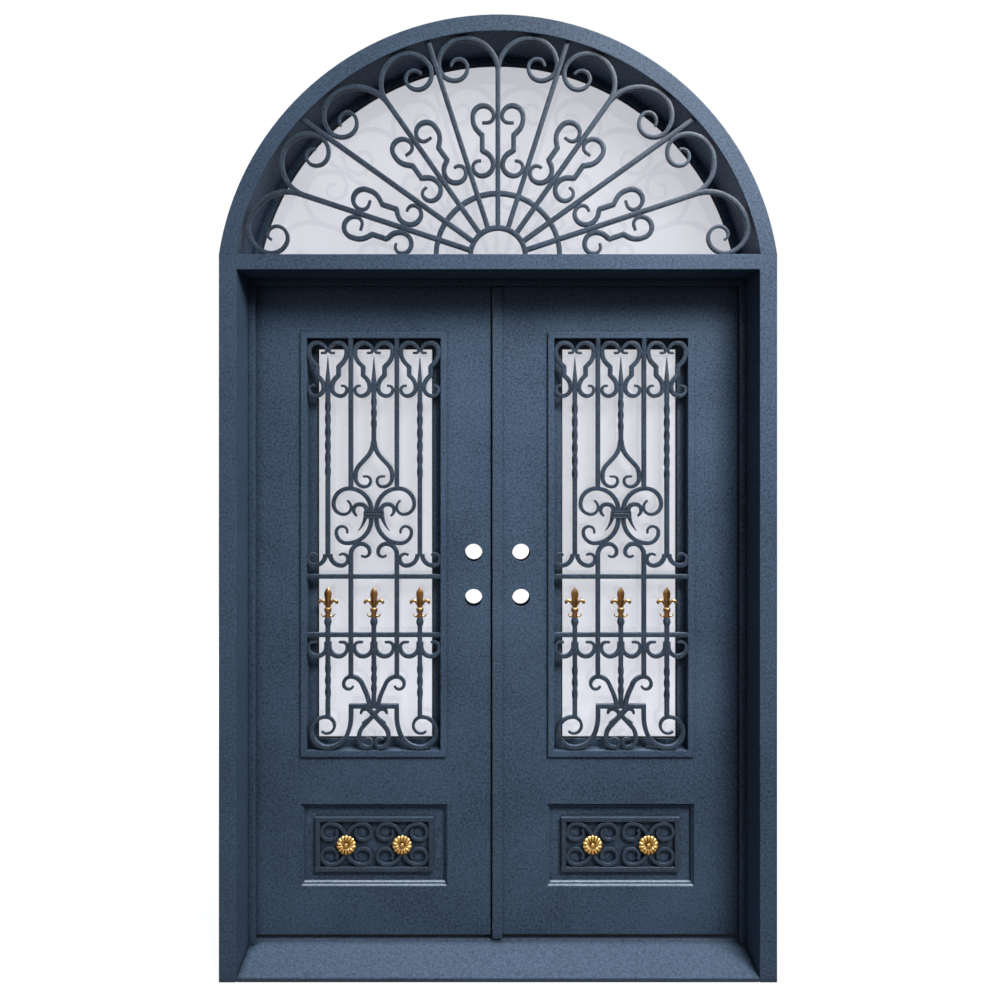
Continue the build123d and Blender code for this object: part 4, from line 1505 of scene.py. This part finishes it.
@dataclass
class Leaf:
    """A door leaf: slab, window trim, glass, bead, gasket, sweep and hinge knuckles."""

    side: Side
    window_x: float = 381.25
    window: Place = (412.0, 1271.0, 625.0)
    lip_inset: float = 25.0
    gasket_width: float = 4.0
    gasket_depths: tuple[float, float] = (71.0, 73.8)
    slab_edge: float = 1.5
    trim_edge: float = 1.3
    bead_edge: float = 1.0
    fine_edge: float = 0.8
    astragal_edge: float = 1.6
    meeting_x: float = -24.5
    meeting_lap: float = 3.0
    seal_span: tuple[float, float] = (30.0, 2080.0)
    seal_root: float = -40.0
    seal_lip: float = -15.03
    bores: tuple[Point, ...] = ((73.5, 1095.0), (73.5, 1234.7))
    bore_reach: float = 27.3
    skins: tuple[float, float] = (42.0, 88.0)

    def line_bores(self, slab: bpy.types.Object, shop: Workshop) -> None:
        """Gives the insides of the lock bores a near-black finish without sheen, as painted shade.

        Args:
            slab: The leaf's slab.
            shop: The shared finishes and trees.
        """
        slab.data.materials.append(shop.materials[Slot.LEAF_PAINT])
        slab.data.materials.append(shop.inside)
        # painted shade: faces inside the lock bores get the near-black finish
        for face in slab.data.polygons:
            x, y, z = face.center / MM
            near = min(hypot(x - self.side.value * bore_x, z - bore_z) for bore_x, bore_z in self.bores)
            if near < self.bore_reach and self.skins[0] < y < self.skins[1]:
                face.material_index = 1

    def gasket(self) -> bpy.types.Object:
        """The rubber gasket round the daylight opening, between the lip and the glass.

        Returns:
            The new object.
        """
        width, height, bottom = self.window
        x, z = self.side.value * self.window_x, bottom + height / 2
        outer, inner = (
            [(x + sx * (width / 2 - inset), z + sz * (height / 2 - inset))
             for sx, sz in ((-1, -1), (1, -1), (1, 1), (-1, 1))]
            for inset in (self.lip_inset, self.lip_inset + self.gasket_width))
        return rubber_ring(f"{self.side.word}_window_gasket", outer, inner, *self.gasket_depths)

    def meeting_seal(self) -> bpy.types.Object:
        """The soft strip on the back of the left leaf that all but closes the gap to the right leaf.

        Returns:
            The new object.
        """
        root, lip = self.seal_root, self.seal_lip
        section = ((root, 90.1), (lip, 90.3), (lip, 91.0), (lip - 8, 94.0), (root + 1, 94.0), (root, 93.0))
        return skin("meeting_seal", [[(x, y, z) for x, y in section] for z in self.seal_span])

    def build(self, shop: Workshop) -> None:
        """Dresses the leaf and everything on it.

        Args:
            shop: The shared finishes and trees.
        """
        word, body = self.side.word, self.side.body
        slab = whole_copy(f"{word}_leaf_slab", f"{word}_leaf_slab_eased")
        if self.side is Side.LEFT:
            for vertex in slab.data.vertices:
                if vertex.co.x > self.meeting_x * MM:
                    vertex.co.x += self.meeting_lap * MM
        slab = eased_edges(slab, self.slab_edge)
        self.line_bores(slab, shop)
        shop.hand_over(slab, body, Slot.LEAF_PAINT, f"{word}_leaf_slab")
        shop.eased(f"{word}_window_trim", body, Slot.LEAF_PAINT, self.trim_edge)
        shop.eased(f"{word}_glazing_bead", body, Slot.LEAF_PAINT, self.bead_edge)
        shop.eased(f"{word}_hinge_knuckles", body, Slot.LEAF_PAINT, self.fine_edge)
        shop.eased(f"{word}_bottom_sweep", body, Slot.RUBBER, self.fine_edge)
        if self.side is Side.RIGHT:
            shop.eased("astragal", body, Slot.LEAF_PAINT, self.astragal_edge)
        else:
            shop.hand_over(self.meeting_seal(), body, Slot.RUBBER)
        shop.hand_over(self.gasket(), body, Slot.RUBBER)
        shop.glaze(f"{word}_window_glass")
        WindowIronwork(self.side).build(shop)
        LowerPanel(self.side).build(shop)


# Studio


@dataclass(frozen=True)
class Softbox:
    """A soft square lamp, in metres, watts and degrees of spread."""

    name: str
    place: Place
    target: Place
    size: float
    watts: float
    colour: str = "FFFFFF"
    spread: float = 180.0

    def hang(self) -> None:
        """Hangs the lamp so that it points at its target."""
        data = bpy.data.lights.new(self.name, "AREA")
        data.shape, data.size, data.energy = "SQUARE", self.size, self.watts
        data.color, data.spread = linear(self.colour)[:3], radians(self.spread)
        lamp = set_out(self.name, data)
        lamp.location = self.place
        lamp.visible_transmission = False
        lamp.rotation_euler = (Vector(self.target) - Vector(self.place)).to_track_quat("-Z", "Y").to_euler()


@dataclass
class Studio:
    """A pale floor, white surroundings, soft lamps and the camera at the photograph's view."""

    eye: Place = (-0.032, -2.190, 1.530)
    lens_mm: float = 25.98
    sensor_mm: float = 36.0
    shift: tuple[float, float] = (0.013, -0.043)
    view_end: float = 100.0
    white: str = "FFFFFF"
    ambient: str = "DDE6F2"
    ambient_strength: float = 0.1
    floor_paint: str = "75787C"
    floor_reach: float = 30.0
    fade: tuple[float, float] = (0.9, 2.6)
    fade_least: float = 0.88
    lamps: tuple[Softbox, ...] = (
        Softbox("high_softbox", (1.6, -2.6, 5.1), (0.35, 0, 2.0), 2.0, 37.0, spread=54),
        Softbox("right_softbox", (2.5, -2.6, 4.3), (0.6, 0, 1.6), 1.6, 24.0, spread=70),
        Softbox("left_softbox", (-2.8, -3.0, 2.8), (0, 0, 1.6), 2.0, 8.5, "F4F7FF"),
        Softbox("back_softbox", (-1.5, 3.5, 3.6), (0, 0, 1.4), 2.4, 170.0),
    )

    def seen(self, node: Adder) -> bpy.types.Node:
        """A value of 1 for rays from the camera, reflections and through glass.

        Args:
            node: The tree's add_node.

        Returns:
            The node that gives the value.
        """
        rays = node("ShaderNodeLightPath").outputs
        first = node("ShaderNodeMath", {0: rays["Is Camera Ray"], 1: rays["Is Glossy Ray"]}, operation="MAXIMUM")
        return node("ShaderNodeMath", {0: first, 1: rays["Is Transmission Ray"]}, operation="MAXIMUM")

    def world(self) -> None:
        """A white background to look at, and a softer one to light with."""
        world = bpy.data.worlds.new("studio")
        bpy.context.scene.world = world
        world.use_nodes = True
        world.node_tree.nodes.clear()
        node = partial(add_node, world.node_tree)
        light = node("ShaderNodeBackground", {"Color": linear(self.ambient), "Strength": self.ambient_strength})
        backdrop = node("ShaderNodeBackground", {"Color": linear(self.white), "Strength": 1.0})
        mix = node("ShaderNodeMixShader", {0: self.seen(node), 1: light, 2: backdrop})
        node("ShaderNodeOutputWorld", {"Surface": mix})

    def floor(self) -> None:
        """A wide pale floor that keeps the door's shadow and fades to white further out."""
        size = self.floor_reach
        mesh = bpy.data.meshes.new("studio_floor")
        mesh.from_pydata([(-size, -size, 0), (size, -size, 0), (size, size, 0), (-size, size, 0)], [],
                         [(0, 1, 2, 3)])
        material, node, place = new_material("pale studio floor")
        distance = node("ShaderNodeVectorMath", {0: place}, operation="LENGTH").outputs["Value"]
        fade = node("ShaderNodeMapRange", {"Value": distance, "From Min": self.fade[0], "From Max": self.fade[1],
                                           "To Min": self.fade_least})
        paint = node("ShaderNodeBsdfDiffuse", {"Color": linear(self.floor_paint)})
        glow = node("ShaderNodeEmission", {"Color": linear(self.white), "Strength": fade})
        lit = node("ShaderNodeAddShader", {0: paint, 1: glow})
        mix = node("ShaderNodeMixShader", {0: self.seen(node), 1: paint, 2: lit})
        node("ShaderNodeOutputMaterial", {"Surface": mix})
        mesh.materials.append(material)
        set_out("studio_floor", mesh)

    def camera(self) -> None:
        """The camera at the photograph's viewing angle."""
        data = bpy.data.cameras.new("photograph_view")
        data.lens, data.sensor_width, data.clip_end = self.lens_mm, self.sensor_mm, self.view_end
        data.shift_x, data.shift_y = self.shift
        camera = set_out("photograph_view", data)
        camera.location = self.eye
        camera.rotation_euler = (radians(90), 0, 0)
        bpy.context.scene.camera = camera

    def build(self) -> None:
        """Sets up everything round the door."""
        bpy.context.scene.view_settings.view_transform = "Standard"
        self.world()
        self.floor()
        for lamp in self.lamps:
            lamp.hang()
        self.camera()


def main() -> None:
    """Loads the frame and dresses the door."""
    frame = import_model()
    FRAME_NODES.update(frame["nodes"])
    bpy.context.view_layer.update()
    shop = Workshop()
    SteelFrame().build(shop)
    Fanlight().build(shop)
    for side in Side:
        Leaf(side).build(shop)
    Studio().build()


if __name__ == "__main__":
    logging.basicConfig(level=logging.INFO, format="%(message)s")
    main()
